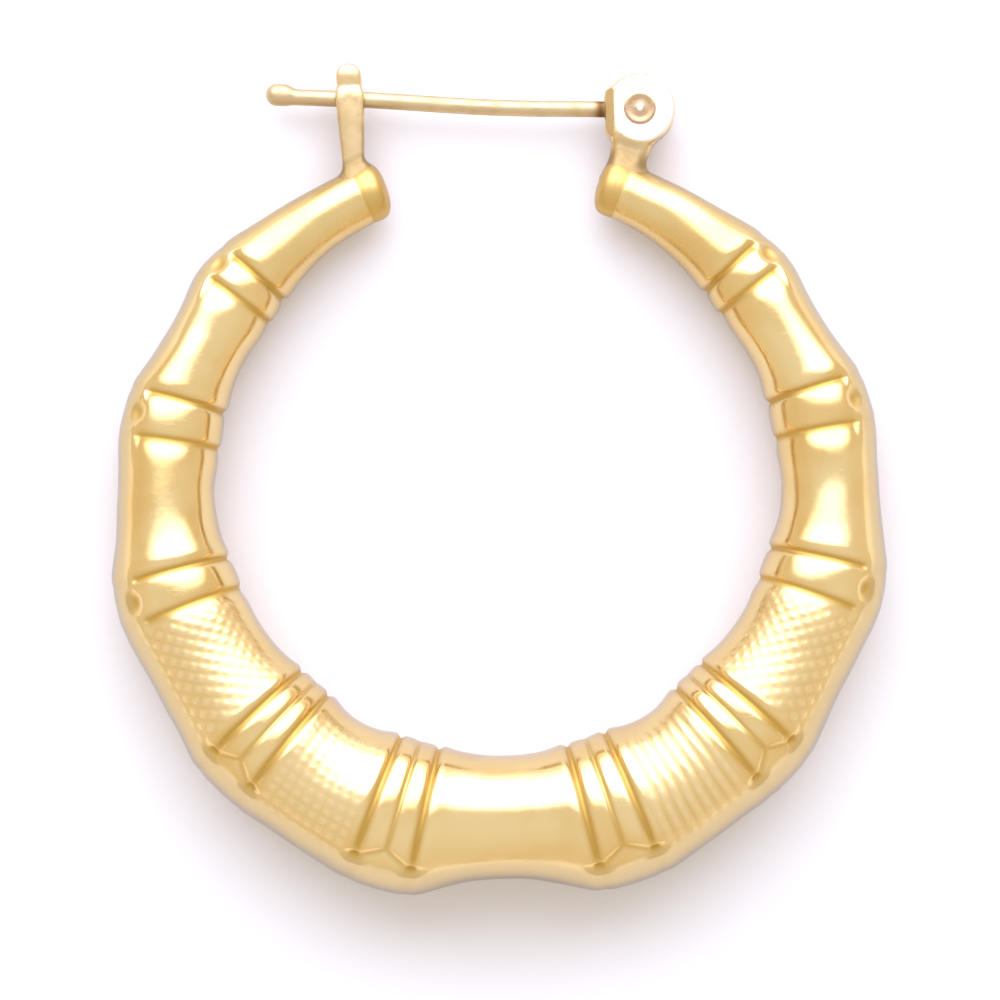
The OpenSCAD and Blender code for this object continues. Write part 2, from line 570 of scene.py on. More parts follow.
@dataclass(frozen=True)
class Hairlines:
    """Fine straight scratches of one direction.

    Attributes:
        turn: direction, as turns about X, Y and Z in degrees.
        length_mm: length of a scratch.
        width_mm: distance between scratches.
        share: how much of the surface stays clear of them, from 0 to 1.
        fade: how softly a scratch begins, on the same scale.
    """

    turn: tuple[float, float, float]
    length_mm: float
    width_mm: float
    share: float
    fade: float = 0.08

    def lines(self, board: Board, at: bpy.types.NodeSocket) -> bpy.types.NodeSocket:
        """Draws them.

        Args:
            board: material that they belong to.
            at: place on the surface.

        Returns:
            An output that is 1 in a scratch and 0 beside it.
        """
        stretch = (1.0 / self.length_mm, 1.0 / self.width_mm, 1.0 / self.width_mm)
        values = {
            "Vector": at,
            "Rotation": tuple(math.radians(angle) for angle in self.turn),
            "Scale": tuple(share / MM for share in stretch),
        }
        turned = board.add("Mapping", values).outputs[0]
        noise = board.add("TexNoise", {"Vector": turned, "Scale": 1.0, "Detail": 1.0}).outputs[0]
        return board.ranged(noise, self.share, self.share + self.fade)


@dataclass(frozen=True)
class GoldFinish:
    """Worn polished gold: two tones, dull hollows and sides with painted shade, rubbed crests, dents,
    scratches.

    Attributes:
        name: name of the material.
        colour: the polished gold.
        warm: the second tone, in soft patches.
        hollow: darker gold: painted shade in furrows, pits and gaps, and the duller tone of solder.
        edge: tint of the gold where it is seen at a low angle.
        brushed: gold of hatched panels and satin faces; where near white, a painted highlight.
        flank: darker gold of the sides, painted shade.
        roughness: of the polished gold.
        smear: least and most roughness of its smears, as shares of that.
        smear_size: size of the smears, as a share of the patches.
        dull: roughness in the furrows.
        satin: roughness that hatched panels and satin faces add.
        unpolished: roughness that the sides add.
        scratched: roughness that scratches add.
        rubbed: roughness that rubbed crests lose.
        patch_mm: size of the patches of the second tone.
        dent_mm: size of the shallow dents.
        dent_depth_mm: their depth.
        scratch_depth_mm: depth of the scratches.
        scratches: the directions that they run in.
    """

    name: str
    colour: Colour
    warm: Colour
    hollow: Colour
    edge: Colour = (0.72, 0.78, 0.95)
    brushed: Colour = (0.90, 0.68, 0.34)
    flank: Colour = (0.665, 0.50, 0.24)
    roughness: float = 0.13
    smear: tuple[float, float] = (0.75, 1.45)
    smear_size: float = 0.4
    dull: float = 0.5
    satin: float = 0.11
    unpolished: float = 0.07
    scratched: float = 0.05
    rubbed: float = 0.03
    patch_mm: float = 3.2
    dent_mm: float = 0.9
    dent_depth_mm: float = 0.006
    scratch_depth_mm: float = 0.0007
    scratches: tuple[Hairlines, ...] = (
        Hairlines((0.0, 4.0, 35.0), 6.0, 0.03, 0.66),
        Hairlines((0.0, -4.0, 118.0), 7.0, 0.035, 0.68),
    )

    def material(self) -> bpy.types.Material:
        """Makes the material.

        Returns:
            The material, for a piece that may carry the marks hollow, rub, brushed and flank.
        """
        board = Board(bpy.data.materials.new(self.name))
        at = board.add("TexCoord").outputs["Object"]
        hollow, rub, brushed, flank = (
            board.mark(name) for name in ("hollow", "rub", "brushed", "flank")
        )
        patches = board.ranged(board.noise(at, self.patch_mm), low=0.35, high=0.7)
        scratched = board.maths("MAXIMUM", *(each.lines(board, at) for each in self.scratches))
        colour = board.blend(patches, self.colour, self.warm)
        # The marks blend in painted light: a near-white painted highlight on satin faces, and painted
        # shade on the sides and in hollows
        for share, gold in ((brushed, self.brushed), (flank, self.flank), (hollow, self.hollow)):
            colour = board.blend(share, colour, gold)
        smears = board.noise(at, self.patch_mm * self.smear_size, detail=4.0, rough=0.6)
        ends = tuple(self.roughness * share for share in self.smear)
        rough = board.ranged(smears, low=0.3, high=0.75, to=ends)
        for share, more in (
            (scratched, self.scratched),
            (brushed, self.satin),
            (flank, self.unpolished),
            (rub, -self.rubbed),
            (hollow, self.dull - self.roughness),
        ):
            rough = board.maths("ADD", rough, board.maths("MULTIPLY", share, more))
        dents = board.noise(at, self.dent_mm, detail=3.0, rough=0.55)
        dents = board.add("Bump", {"Height": dents, "Distance": self.dent_depth_mm * MM})
        values = {
            "Height": board.maths("SUBTRACT", 1.0, scratched),
            "Distance": self.scratch_depth_mm * MM,
            "Normal": dents.outputs[0],
        }
        bumps = board.add("Bump", values)
        values = {
            "Base Color": colour,
            "Metallic": 1.0,
            "Roughness": rough,
            "Specular Tint": (*self.edge, 1.0),
            "Normal": bumps.outputs[0],
        }
        return board.dress(values)


POLISHED_GOLD = GoldFinish(
    name="polished_gold",
    colour=(0.87, 0.645, 0.295),
    warm=(0.82, 0.56, 0.215),
    # hollow: painted shade in knot furrows, pits and engraved lines, and the duller tone of seams and
    # caps
    hollow=(0.60, 0.375, 0.085),
)
DRAWN_GOLD = GoldFinish(
    name="drawn_gold",
    colour=(0.68, 0.52, 0.285),
    warm=(0.63, 0.46, 0.24),
    # Near black: painted shade around the eye and where the wire goes into the hinge
    hollow=(0.22, 0.105, 0.028),
    roughness=0.42,
    patch_mm=1.6,
    scratches=(
        Hairlines((0.0, 0.0, 3.3), 3.0, 0.035, 0.58),
        Hairlines((20.0, 5.0, 60.0), 1.4, 0.05, 0.68),
    ),
)
SOLDERED_GOLD = GoldFinish(
    name="soldered_gold",
    colour=(0.86, 0.64, 0.33),
    warm=(0.81, 0.57, 0.27),
    # hollow: the dark solder joints and heat tone, and painted shade in the wire's gap and on the
    # hinge's bevel
    hollow=(0.36, 0.24, 0.095),
    # Near white: a painted highlight on the hinge ears' flat faces
    brushed=(0.98, 0.90, 0.74),
    roughness=0.21,
    satin=0.22,
    patch_mm=1.0,
    dent_mm=0.5,
)
RIVET_GOLD = GoldFinish(
    name="rivet_gold",
    colour=(0.66, 0.44, 0.245),
    warm=(0.62, 0.40, 0.20),
    # hollow: painted shade where the heads meet the ears; the near-white satin is a painted highlight
    # on the dot
    hollow=(0.42, 0.25, 0.11),
    brushed=(0.98, 0.90, 0.74),
    roughness=0.2,
    patch_mm=0.7,
    dent_mm=0.3,
)


# The hollow tube


class Hatch(Enum):
    """How a stretch of the tube is engraved."""

    PLAIN = "plain"
    RIBS = "ribs"
    CHECKER = "checker"
    DIAGONAL = "diagonal"


@dataclass(frozen=True)
class Knot:
    """One knot of the bamboo, or the tube's end, with the stretch that leads up to it.

    Attributes:
        angle: degrees from the bottom of the hoop.
        centre: centre line at the knot, as a share of the hoop's radius.
        thick: lip on the thicker side, as a share of the tube's radius.
        thin: lip on the thinner side, as a share of the tube's radius.
        band: half of the knot's width, in millimetres.
        waist: tube midway along the stretch, as a share of the tube's radius.
        waist_centre: centre line there, as a share of the hoop's radius.
        parted: how clearly a line parts the knot's two beads, from 0, one bead, to 1.
        face: how much of the stretch's flare its face shows, compared with the outline.
        left: how the stretch is engraved on the hoop's left half.
        right: how it is engraved on the right half.
    """

    angle: float
    centre: float
    thick: float
    thin: float
    band: float
    waist: float
    waist_centre: float
    parted: float = 0.0
    face: float = 0.66
    left: Hatch = Hatch.PLAIN
    right: Hatch = Hatch.PLAIN


@dataclass(frozen=True)
class Ripple:
    """Faint unevenness of thin stamped metal, a sum of waves in fixed random directions.

    Attributes:
        height: usual height, in millimetres.
        shortest: length of the shortest wave, in millimetres.
        longest: length of the longest wave, in millimetres.
        waves: how many waves there are.
        seed: start of the random draws.
    """

    height: float = 0.013
    shortest: float = 1.6
    longest: float = 5.0
    waves: int = 18
    seed: int = 7

    def at(self, points: np.ndarray) -> np.ndarray:
        """Adds up the waves.

        Args:
            points: points in the hoop's plane, in millimetres.

        Returns:
            Height of the metal at each point, in millimetres.
        """
        draw = np.random.default_rng(self.seed)
        ways = draw.normal(size=(self.waves, 3))
        ways /= np.linalg.norm(ways, axis=1, keepdims=True)
        lengths = draw.uniform(self.shortest, self.longest, self.waves)
        starts = draw.uniform(0.0, 2.0 * math.pi, self.waves)
        phase = points @ (ways / lengths[:, None]).T * 2.0 * math.pi + starts
        return self.height * np.sin(phase).sum(axis=-1) * math.sqrt(2.0 / self.waves)


@dataclass(frozen=True)
class KnotRelief:
    """The stamped relief of a knot, in millimetres and degrees around the tube.

    Two rounded beads lie side by side across the face of the tube, with a line between
    them and a furrow on each outer side. Towards the outside of the hoop they end at a
    lobe that is pointed like a leaf, with a pit at each of its feet. On the smaller knots
    they are one bead, with one pit, and the lip on the thicker side is rolled.

    Attributes:
        bead_drop: how far the beads lie below the lips.
        bead_round: how far their flanks fall off.
        bead_single: how many times as far a single bead's flanks fall off.
        bead_end: where the beads start and stop fading, as shares of the band.
        line_depth: depth of the line between the beads.
        line_width: its half width.
        line_fade: angles between which it fades towards the hoop's inside.
        line_rest: how much of it is left there.
        side_depth: depth of the side furrows.
        side_width: their half width.
        side_rest: share of the side furrows that goes on around the outside.
        side_rise: angles between which they get their full depth.
        lip_roll: how much wider the furrow's side is at the rolled lip of a single bead.
        lobe_tip: where the lobe's point lies, from the outside of the hoop.
        lobe_foot: where its feet lie.
        lobe_past: how far past the middle its sides run on, as a share of the band.
        lobe_single: how much of the lobe a single bead has.
        face_rise: angles past the lobe between which the beads rise.
        face_single: the same for a single bead.
        leg_depth: depth of the furrow along the lobe.
        leg_width: its half width.
        leg_end: where it starts and stops fading, as shares of the band.
        pit_depth: depth of the pits.
        pit_r: radius of the pits.
        pit_wide: how many times as wide the pit of a single bead is.
        pit_single: how deep that pit is, as a share.
        crisp: power that joins the cuts; the higher, the crisper.
        hollow_gain: how fast the painted shade and dullness of hollows grow with their depth.
        hollow_power: how late they start to.
    """

    bead_drop: float = 0.04
    bead_round: float = 0.05
    bead_single: float = 2.2
    bead_end: tuple[float, float] = (0.98, 1.16)
    line_depth: float = 0.17
    line_width: float = 0.16
    line_fade: tuple[float, float] = (158.0, 176.0)
    line_rest: float = 0.25
    side_depth: float = 0.23
    side_width: float = 0.24
    side_rest: float = 0.2
    side_rise: tuple[float, float] = (45.0, 56.0)
    lip_roll: float = 1.8
    lobe_tip: float = 60.0
    lobe_foot: float = 46.0
    lobe_past: float = 1.2
    lobe_single: float = 0.3
    face_rise: tuple[float, float] = (-3.0, 4.0)
    face_single: tuple[float, float] = (-3.0, 8.0)
    leg_depth: float = 0.15
    leg_width: float = 0.21
    leg_end: tuple[float, float] = (0.95, 1.1)
    pit_depth: float = 0.27
    pit_r: float = 0.32
    pit_wide: float = 1.5
    pit_single: float = 0.8
    crisp: float = 3.0
    hollow_gain: float = 1.1
    hollow_power: float = 1.5

    def depths(
        self, knot: Knot, along: np.ndarray, around: np.ndarray, radius: np.ndarray
    ) -> tuple[np.ndarray, np.ndarray]:
        """Depth of the relief below the lips.

        Args:
            knot: the knot.
            along: distance from its middle, along the tube.
            around: degrees from the hoop's outside, from 0 to 180.
            radius: radius of the tube there.

        Returns:
            The depth, and how much painted shade and dullness each point gets in a hollow, from 0 to
            1.
        """
        off = np.abs(along)
        share = off / knot.band
        arc = radius * math.radians(1.0)
        lobed = mix(self.lobe_single, 1.0, knot.parted)
        leaf = (self.lobe_tip - self.lobe_foot) * lobed
        lobe = self.lobe_foot + leaf * (1.0 - np.minimum(share, self.lobe_past))
        rise = (mix(*ends, knot.parted) for ends in zip(self.face_single, self.face_rise))
        face = ease(around - lobe, *rise)
        inner = 1.0 - (1.0 - self.line_rest) * ease(around, *self.line_fade)
        single = self.bead_single * np.square(share)
        round_off = mix(single, np.square(2.0 * share - 1.0), knot.parted)
        beads = self.bead_drop + self.bead_round * round_off
        beads = beads * face * (1.0 - ease(share, *self.bead_end))
        line = self.line_depth * knot.parted * furrow(along, self.line_width) * face * inner
        sides = mix(self.side_rest, 1.0, ease(around, *self.side_rise))
        side = self.side_depth * furrow(off - knot.band, self.side_width) * sides
        rolled = self.side_width * (1.0 + self.lip_roll * (1.0 - knot.parted))
        roll = self.side_depth * furrow(along + knot.band, rolled) * sides
        roll = np.where(along < -knot.band, roll, 0.0)
        slope = 1.0 + np.square(leaf * arc / knot.band)
        beside = (around - lobe) * arc / np.sqrt(slope)
        leg = self.leg_depth * lobed * furrow(beside, self.leg_width)
        leg = leg * (1.0 - ease(share, *self.leg_end))
        to_pit = np.hypot(off - knot.band * knot.parted, (around - self.lobe_foot) * arc)
        pit_r = self.pit_r * mix(self.pit_wide, 1.0, knot.parted)
        pit = self.pit_depth * mix(self.pit_single, 1.0, knot.parted) * furrow(to_pit, pit_r)
        depth, hollow = (
            sum(cut_in**self.crisp for cut_in in cuts) ** (1.0 / self.crisp)
            for cuts in ((beads, line, np.maximum(side, roll), leg, pit), (line, side, leg, pit))
        )
        hollow = np.clip(hollow / self.side_depth * self.hollow_gain, 0.0, 1.0)
        return depth, hollow**self.hollow_power


@dataclass(frozen=True)
class Engraving:
    """The hatching of a stretch, cut across the face of the tube.

    Attributes:
        pitch: distance between its lines, in millimetres.
        depth: depth of its lines, in millimetres.
        dark: how much painted shade the lines get, from 0 to 1.
        slant: slant of the diagonal lines from straight across, in degrees.
        low: where it starts, in degrees from the hoop's outside.
        high: where it ends.
        fade: how many degrees it takes to fade in and out.
        margin: how far it keeps from the lips, in millimetres.
        margin_fade: how far it fades out before and after that, as a share of the margin.
        narrow: how narrow the lines are cut; 1 is a plain wave.
    """

    pitch: float = 0.52
    depth: float = 0.038
    dark: float = 0.35
    slant: float = 38.0
    low: float = 46.0
    high: float = 140.0
    fade: float = 12.0
    margin: float = 0.25
    margin_fade: float = 0.8
    narrow: float = 1.6

    def lines(self, style: Hatch, along: np.ndarray, across: np.ndarray) -> np.ndarray:
        """Pattern of the lines.

        Args:
            style: how the stretch is engraved.
            along: millimetres along the tube.
            across: millimetres around the tube.

        Returns:
            Depth at each point, as a share of the usual depth, 0 between the lines.
        """
        slant = math.radians(self.slant)
        uphill = along * math.cos(slant) + across * math.sin(slant)
        downhill = along * math.cos(slant) - across * math.sin(slant)
        # For each style, the ways across its lines and how deep those are cut
        cuts = {
            Hatch.RIBS: ((along, 1.6), (across * 0.7, 0.4)),
            Hatch.CHECKER: ((along, 0.9), (across, 0.9)),
            Hatch.DIAGONAL: ((uphill, 1.3), (downhill, 1.1)),
        }
        total = np.zeros(np.broadcast(along, across).shape)
        for way, share in cuts[style]:
            wave = 0.5 + 0.5 * np.cos(2.0 * math.pi * way / self.pitch)
            total = np.maximum(total, share * wave**self.narrow)
        return total

    def window(self, around: np.ndarray, to_lip: np.ndarray) -> np.ndarray:
        """Fades the hatching out at its margins.

        Args:
            around: degrees from the hoop's outside.
            to_lip: distance to the nearer lip, in millimetres.

        Returns:
            How much of the hatching shows, from 0 to 1.
        """
        rise = ease(around, self.low - self.fade, self.low + self.fade)
        fall = 1.0 - ease(around, self.high - self.fade, self.high + self.fade)
        ends = (self.margin * (1.0 + side * self.margin_fade) for side in (-1.0, 1.0))
        return rise * fall * ease(to_lip, *ends)


@dataclass(kw_only=True)
class BambooTube(Part):
    """The hollow graduated tube with its knots, hatching and two end caps.

    Attributes:
        hoop_r: radius of the centre line at the thickest knots, in millimetres.
        tube_r: radius of the tube over the thickest lips, in millimetres.
        lip_w: width of a lip, in millimetres.
        flare: how sharply a stretch flares at its lips.
        soften: how far the lips are rounded along the tube, in millimetres.
        cap_dome: how far the end caps bulge, in millimetres.
        cap_round: how far before the end their rounding starts, in millimetres.
        cap_power: how square the rounding is, where 2 is an ellipse.
        cap_rings: how many rings the mesh of a cap has.
        seam_at: distance of the cap's solder line from the end, in millimetres.
        seam_depth: its depth, in millimetres.
        seam_width: its half width, in millimetres.
        seam_dark: how dull it is, from 0 to 1.
        cap_dull: how dull and deep in colour the cap is beyond it, from 0 to 1.
        cap_edge: where that starts and stops fading, in millimetres before the solder line.
        heat_dull: how dull the tube is beside the solder, from 0 to 1.
        heat_fade: where that starts and stops fading, in millimetres from the solder line.
        side_shade_from: where the sides' painted shade begins, in degrees from the middle of the
            face.
        side_shade_to: where it is as dark as it gets.
        side_shade_inner: how dark it is inside the hoop, where 1 is as dark as outside.
        fine: spacing at which the outline is worked out, in degrees.
        plain_step: spacing of the mesh's rings along plain stretches, in millimetres.
        hatch_step: their spacing along hatched stretches.
        knot_step: their spacing along knots and caps.
        furrow_step: their spacing in the furrows of a knot.
        knot_room: how far past the lips a knot's spacing reaches, in millimetres.
        furrow_room: how far beside a furrow its spacing reaches.
        step_soften: how far the spacings blend into each other.
        side_places: at how many places of half a turn the mesh's spacing is worked out.
        side_step: spacing of the mesh around the tube, in degrees.
        side_plain: its spacing outside and inside the hoop, where there is no detail.
        side_fine: its spacing along the lobes.
        detailed: angles from the outside between which there is detail.
        lobed: angles between which the lobes lie.
        reach: how far a knot's relief reaches past its band, in radii of a pit.
        knots: the knots of one half, from the bottom up, then the tube's end.
        relief: the stamped relief of the knots.
        engraving: the hatching.
        ripple: the unevenness of the metal.
        angles: the angles of one half at which its outline is worked out.
        centres: distance of the centre line from the hoop's centre at each of them.
        radii: half of the tube's width there.
        heights: half of its height there.
    """

    piece: Piece = Piece("bamboo_tube", "hoop", "hoop_gold", ("hoop",))
    hoop_r: float = 16.9
    tube_r: float = 3.85
    lip_w: float = 0.28
    flare: float = 2.3
    soften: float = 0.26
    cap_dome: float = 0.35
    cap_round: float = 0.45
    cap_power: float = 2.5
    cap_rings: int = 14
    seam_at: float = 0.95
    seam_depth: float = 0.03
    seam_width: float = 0.09
    seam_dark: float = 0.5
    cap_dull: float = 0.7
    cap_edge: tuple[float, float] = (-0.15, 0.1)
    heat_dull: float = 0.25
    heat_fade: tuple[float, float] = (4.3, 8.6)
    side_shade_from: float = 40.0
    side_shade_to: float = 53.0
    side_shade_inner: float = 0.5
    fine: float = 0.02
    plain_step: float = 0.36
    hatch_step: float = 0.125
    knot_step: float = 0.115
    furrow_step: float = 0.065
    knot_room: float = 0.15
    furrow_room: float = 0.2
    step_soften: float = 0.08
    side_places: int = 3601
    side_step: float = 2.35
    side_plain: float = 3.4
    side_fine: float = 1.35
    detailed: tuple[float, float] = (34.0, 156.0)
    lobed: tuple[float, float] = (44.0, 68.0)
    reach: float = 6.0
    knots: tuple[Knot, ...] = (
        Knot(18.0, 1.000, 0.985, 1.000, 1.25, 0.792, 0.964, 1.0),
        Knot(44.0, 0.991, 0.950, 0.940, 1.10, 0.900, 1.001, 1.0, 0.66, Hatch.CHECKER, Hatch.RIBS),
        Knot(
            73.0, 0.987, 0.831, 0.790, 0.95, 0.800, 0.983, 0.05, 0.55, Hatch.DIAGONAL, Hatch.DIAGONAL
        ),
        Knot(102.5, 0.969, 0.680, 0.642, 1.05, 0.631, 0.974, 0.0, 0.45),
        Knot(129.5, 0.953, 0.595, 0.545, 0.75, 0.532, 0.950, 0.0, 0.3),
        Knot(159.5, 0.947, 0.390, 0.390, 0.00, 0.400, 0.944),
    )
    relief: KnotRelief = KnotRelief()
    engraving: Engraving = Engraving()
    ripple: Ripple = Ripple()
    angles: np.ndarray = field(init=False)
    centres: np.ndarray = field(init=False)
    radii: np.ndarray = field(init=False)
    heights: np.ndarray = field(init=False)

    def __post_init__(self) -> None:
        """Works out the centre line, and half the tube's width and height, along one half."""
        self.angles = np.arange(0.0, self.end + self.fine, self.fine)
        self.centres = np.full(len(self.angles), self.knots[-1].centre * self.hoop_r)
        self.radii = np.full(len(self.angles), self.knots[-1].thick * self.tube_r)
        fuller = np.zeros(len(self.angles))
        for number, knot in enumerate(self.knots):
            before = self.knots[number - 1] if number else knot
            low, high = self.span(number)
            share = (self.angles - low) / (high - low)
            part = (share >= 0.0) & (share <= 1.0)
            t = share[part]
            bow = 1.0 - np.abs(2.0 * t - 1.0) ** self.flare
            lips = (before.thin if number else knot.thick, knot.thick)
            sag = (sum(lips) / 2.0 - knot.waist) * self.tube_r
            self.radii[part] = mix(lips[0], lips[1], t) * self.tube_r - sag * bow
            fuller[part] = max(sag, 0.0) * (1.0 - knot.face) * bow
            way = mix(before.centre, knot.centre, t)
            rise = knot.waist_centre - (before.centre + knot.centre) / 2.0
            self.centres[part] = (way + rise * 4.0 * t * (1.0 - t)) * self.hoop_r
            if knot.band:
                reach = self.turn(knot.band + self.lip_w, knot)
                part = np.abs(self.angles - knot.angle) < reach
                place = (self.angles[part] - knot.angle) / self.turn(knot.band, knot)
                share = (np.clip(place, -1.0, 1.0) + 1.0) / 2.0
                self.radii[part] = mix(knot.thick, knot.thin, share) * self.tube_r
                self.centres[part] = knot.centre * self.hoop_r
        self.heights = self._softened(self.radii + fuller, self.soften)
        self.radii = self._softened(self.radii, self.soften)
        # The centre line bends more slowly than the lips
        self.centres = self._softened(self.centres, 2.0 * self.soften)

    @property
    def end(self) -> float:
        """Angle of the tube's end, in degrees from the bottom."""
        return self.knots[-1].angle

    def turn(self, length: float, knot: Knot) -> float:
        """Degrees that a length along the centre line takes up at a knot."""
        return math.degrees(length / (knot.centre * self.hoop_r))

    def span(self, number: int) -> tuple[float, float]:
        """Angles between which a stretch runs.

        Args:
            number: number of the knot that the stretch leads up to.

        Returns:
            Its first and last angle.
        """
        knot = self.knots[number]
        room = self.lip_w if knot.band else 0.0
        high = knot.angle - self.turn(knot.band + room, knot)
        if number == 0:
            return -high, high
        before = self.knots[number - 1]
        return before.angle + self.turn(before.band + self.lip_w, before), high

    def _softened(self, values: np.ndarray, width: float) -> np.ndarray:
        """Evens out values along the tube.

        Args:
            values: values for each of the angles.
            width: over how many millimetres they are evened out.

        Returns:
            The softer values.
        """
        step = math.radians(self.angles[1] - self.angles[0]) * self.hoop_r
        reach = int(3.0 * width / step)
        # The weights are a bell curve that is cut off at three widths
        weights = furrow(np.arange(-reach, reach + 1) * step, width * math.sqrt(2.0))
        padded = np.concatenate([values[reach:0:-1], values, np.full(reach, values[-1])])
        return np.convolve(padded, weights / weights.sum(), mode="valid")

    def rings(self) -> np.ndarray:
        """Angles of the mesh's rings, close together where there is detail.

        Returns:
            Angles in degrees, from the left end to the right one.
        """
        spacing = np.full(len(self.angles), self.plain_step)
        for number, knot in enumerate(self.knots):
            low, high = self.span(number)
            if Hatch.PLAIN not in (knot.left, knot.right):
                spacing[(self.angles > low) & (self.angles < high)] = self.hatch_step
            if knot.band:
                off = np.abs(np.radians(self.angles - knot.angle)) * knot.centre * self.hoop_r
                spacing[off < knot.band + self.lip_w + self.knot_room] = self.knot_step
                to_furrow = np.minimum(off, np.abs(off - knot.band))
                spacing[to_furrow < self.furrow_room] = self.furrow_step
        seam = np.radians(self.end - self.angles) * self.centres[-1]
        spacing[seam < self.seam_at + self.plain_step] = self.knot_step
        spacing = self._softened(spacing, self.step_soften)
        arc = math.radians(self.angles[1] - self.angles[0]) * self.centres
        half = spread(self.angles, arc[1:] / spacing[1:])
        return np.concatenate([-half[:0:-1], half])

    def sides(self) -> np.ndarray:
        """Angles around the tube at which it is meshed, in degrees from the outside.

        Returns:
            Angles from 0 up to, and without, 360.
        """
        places = np.linspace(0.0, 180.0, self.side_places)
        spacing = np.full(len(places), self.side_step)
        spacing[(places < self.detailed[0]) | (places > self.detailed[1])] = self.side_plain
        spacing[(places > self.lobed[0]) & (places < self.lobed[1])] = self.side_fine
        half = spread(places, (places[1] - places[0]) / spacing[1:], extra=1)
        return np.concatenate([half[:-1], 360.0 - half[:0:-1]])

    def surface(self, angle: np.ndarray, around: np.ndarray, less: np.ndarray) -> np.ndarray:
        """Points of the tube's surface.

        Args:
            angle: degrees from the bottom of the hoop.
            around: degrees around the tube, from the hoop's outside towards its front.
            less: how far the surface lies below the lips, in millimetres.

        Returns:
            Points in the hoop's plane, in millimetres.
        """
        centre = np.interp(np.abs(angle), self.angles, self.centres)
        width = np.interp(np.abs(angle), self.angles, self.radii) - less
        height = np.interp(np.abs(angle), self.angles, self.heights) - less
        turn, side = np.radians(angle), np.radians(around)
        reach = centre + width * np.cos(side)
        return np.stack([reach * np.sin(turn), -reach * np.cos(turn), height * np.sin(side)], -1)

    def distance(self, points: np.ndarray) -> np.ndarray:
        """Distance to the tube's outside, close to its two ends.

        Args:
            points: points in the hoop's plane, in millimetres.

        Returns:
            Distances, negative inside the tube.
        """
        x, y, z = points[..., 0], points[..., 1], points[..., 2]
        angle = np.degrees(np.arctan2(np.abs(x), -y))
        centre = np.interp(angle, self.angles, self.centres)
        radius = np.interp(angle, self.angles, self.radii)
        past = np.radians(angle - self.end) * centre + self.cap_round
        share = np.clip(past / (self.cap_round + self.cap_dome), 0.0, NEARLY)
        radius = radius * (1.0 - share**self.cap_power) ** (1.0 / self.cap_power)
        return np.hypot(np.hypot(x, y) - centre, z) - radius

    def detail(self, angle: np.ndarray, around: np.ndarray) -> dict[str, np.ndarray]:
        """Depth of knots, hatching and seam, and the marks that the finish reads.

        Args:
            angle: degrees from the bottom, a column.
            around: degrees around the tube, a row.

        Returns:
            Arrays less, hollow, rub, brushed and flank, by name.
        """
        folded = np.minimum(around, 360.0 - around)
        off = np.abs(angle)
        radius = np.interp(off, self.angles, self.radii)
        shape = np.broadcast(angle, around).shape
        less, hollow, rub, brushed = (np.zeros(shape) for _ in range(4))
        for number, knot in enumerate(self.knots):
            low, high = self.span(number)
            if knot.band:
                along = np.radians(off - knot.angle) * knot.centre * self.hoop_r
                rows = np.abs(along[:, 0]) < knot.band + self.reach * self.relief.pit_r
                # The knot's furrows and pits get painted shade and duller gold
                depth, dark = self.relief.depths(knot, along[rows], folded, radius[rows])
                less[rows] += depth
                hollow[rows] = np.maximum(hollow[rows], dark)
                lip = furrow(np.abs(along[rows]) - knot.band - self.lip_w, self.lip_w)
                rub[rows] = np.maximum(rub[rows], lip * (1.0 - dark))
            for style, side in ((knot.left, -1.0), (knot.right, 1.0)):
                if style is Hatch.PLAIN:
                    continue
                signed = angle * side
                rows = ((signed > low) & (signed < high))[:, 0]
                scale = math.radians(1.0) * self.centres[0]
                along = (signed[rows] - (low + high) / 2.0) * scale
                across = np.radians(folded - 90.0) * radius[rows].mean()
                to_lip = np.minimum(signed[rows] - low, high - signed[rows]) * scale
                window = self.engraving.window(folded, to_lip)
                lines = self.engraving.lines(style, along, across) * window
                less[rows] += lines * self.engraving.depth
                brushed[rows] = window
                # Engraved lines get painted shade
                hollow[rows] = np.maximum(hollow[rows], self.engraving.dark * lines)
        to_seam = np.radians(self.end - off) * self.centres[-1] - self.seam_at
        seam = furrow(to_seam, self.seam_width)
        less += self.seam_depth * seam
        dull = self.cap_dull * (1.0 - ease(to_seam, *self.cap_edge))
        heated = self.heat_dull * (1.0 - ease(to_seam, *self.heat_fade))
        ends = np.maximum(np.minimum(self.seam_dark * seam + dull, 1.0), heated)
        # Painted shade on the tube's sides, weaker inside the hoop; the same mark adds roughness
        # there
        flank = ease(np.abs(folded - 90.0), self.side_shade_from, self.side_shade_to)
        flank = np.broadcast_to(np.where(folded > 90.0, self.side_shade_inner, 1.0) * flank, shape)
        hollow = np.maximum(hollow, ends)
        return {"less": less, "hollow": hollow, "rub": rub, "brushed": brushed, "flank": flank}

    def cap(self, base: np.ndarray, sign: float, around: np.ndarray) -> np.ndarray:
        """Rings of an end cap, from its shoulder to just before its middle.

        Args:
            base: radius of the tube around its end, in millimetres.
            sign: -1 for the left end and 1 for the right one.
            around: degrees around the tube.

        Returns:
            Points of the rings, and the middle point repeated as a last ring.
        """
        centre = self.centres[-1]
        side = np.radians(around)
        found = []
        for turn in np.linspace(0.0, math.pi / 2.0, self.cap_rings + 1)[1:]:
            share = math.sin(turn) ** (2.0 / self.cap_power)
            narrow = max(math.cos(turn), 0.0) ** (2.0 / self.cap_power)
            past = share * (self.cap_round + self.cap_dome) - self.cap_round
            angle = sign * (math.radians(self.end) + past / centre)
            radius = base * narrow
            reach = centre + radius * np.cos(side)
            x, y = reach * math.sin(angle), -reach * math.cos(angle)
            found.append(np.stack([x, y, radius * np.sin(side)], axis=-1))
        return np.stack(found)

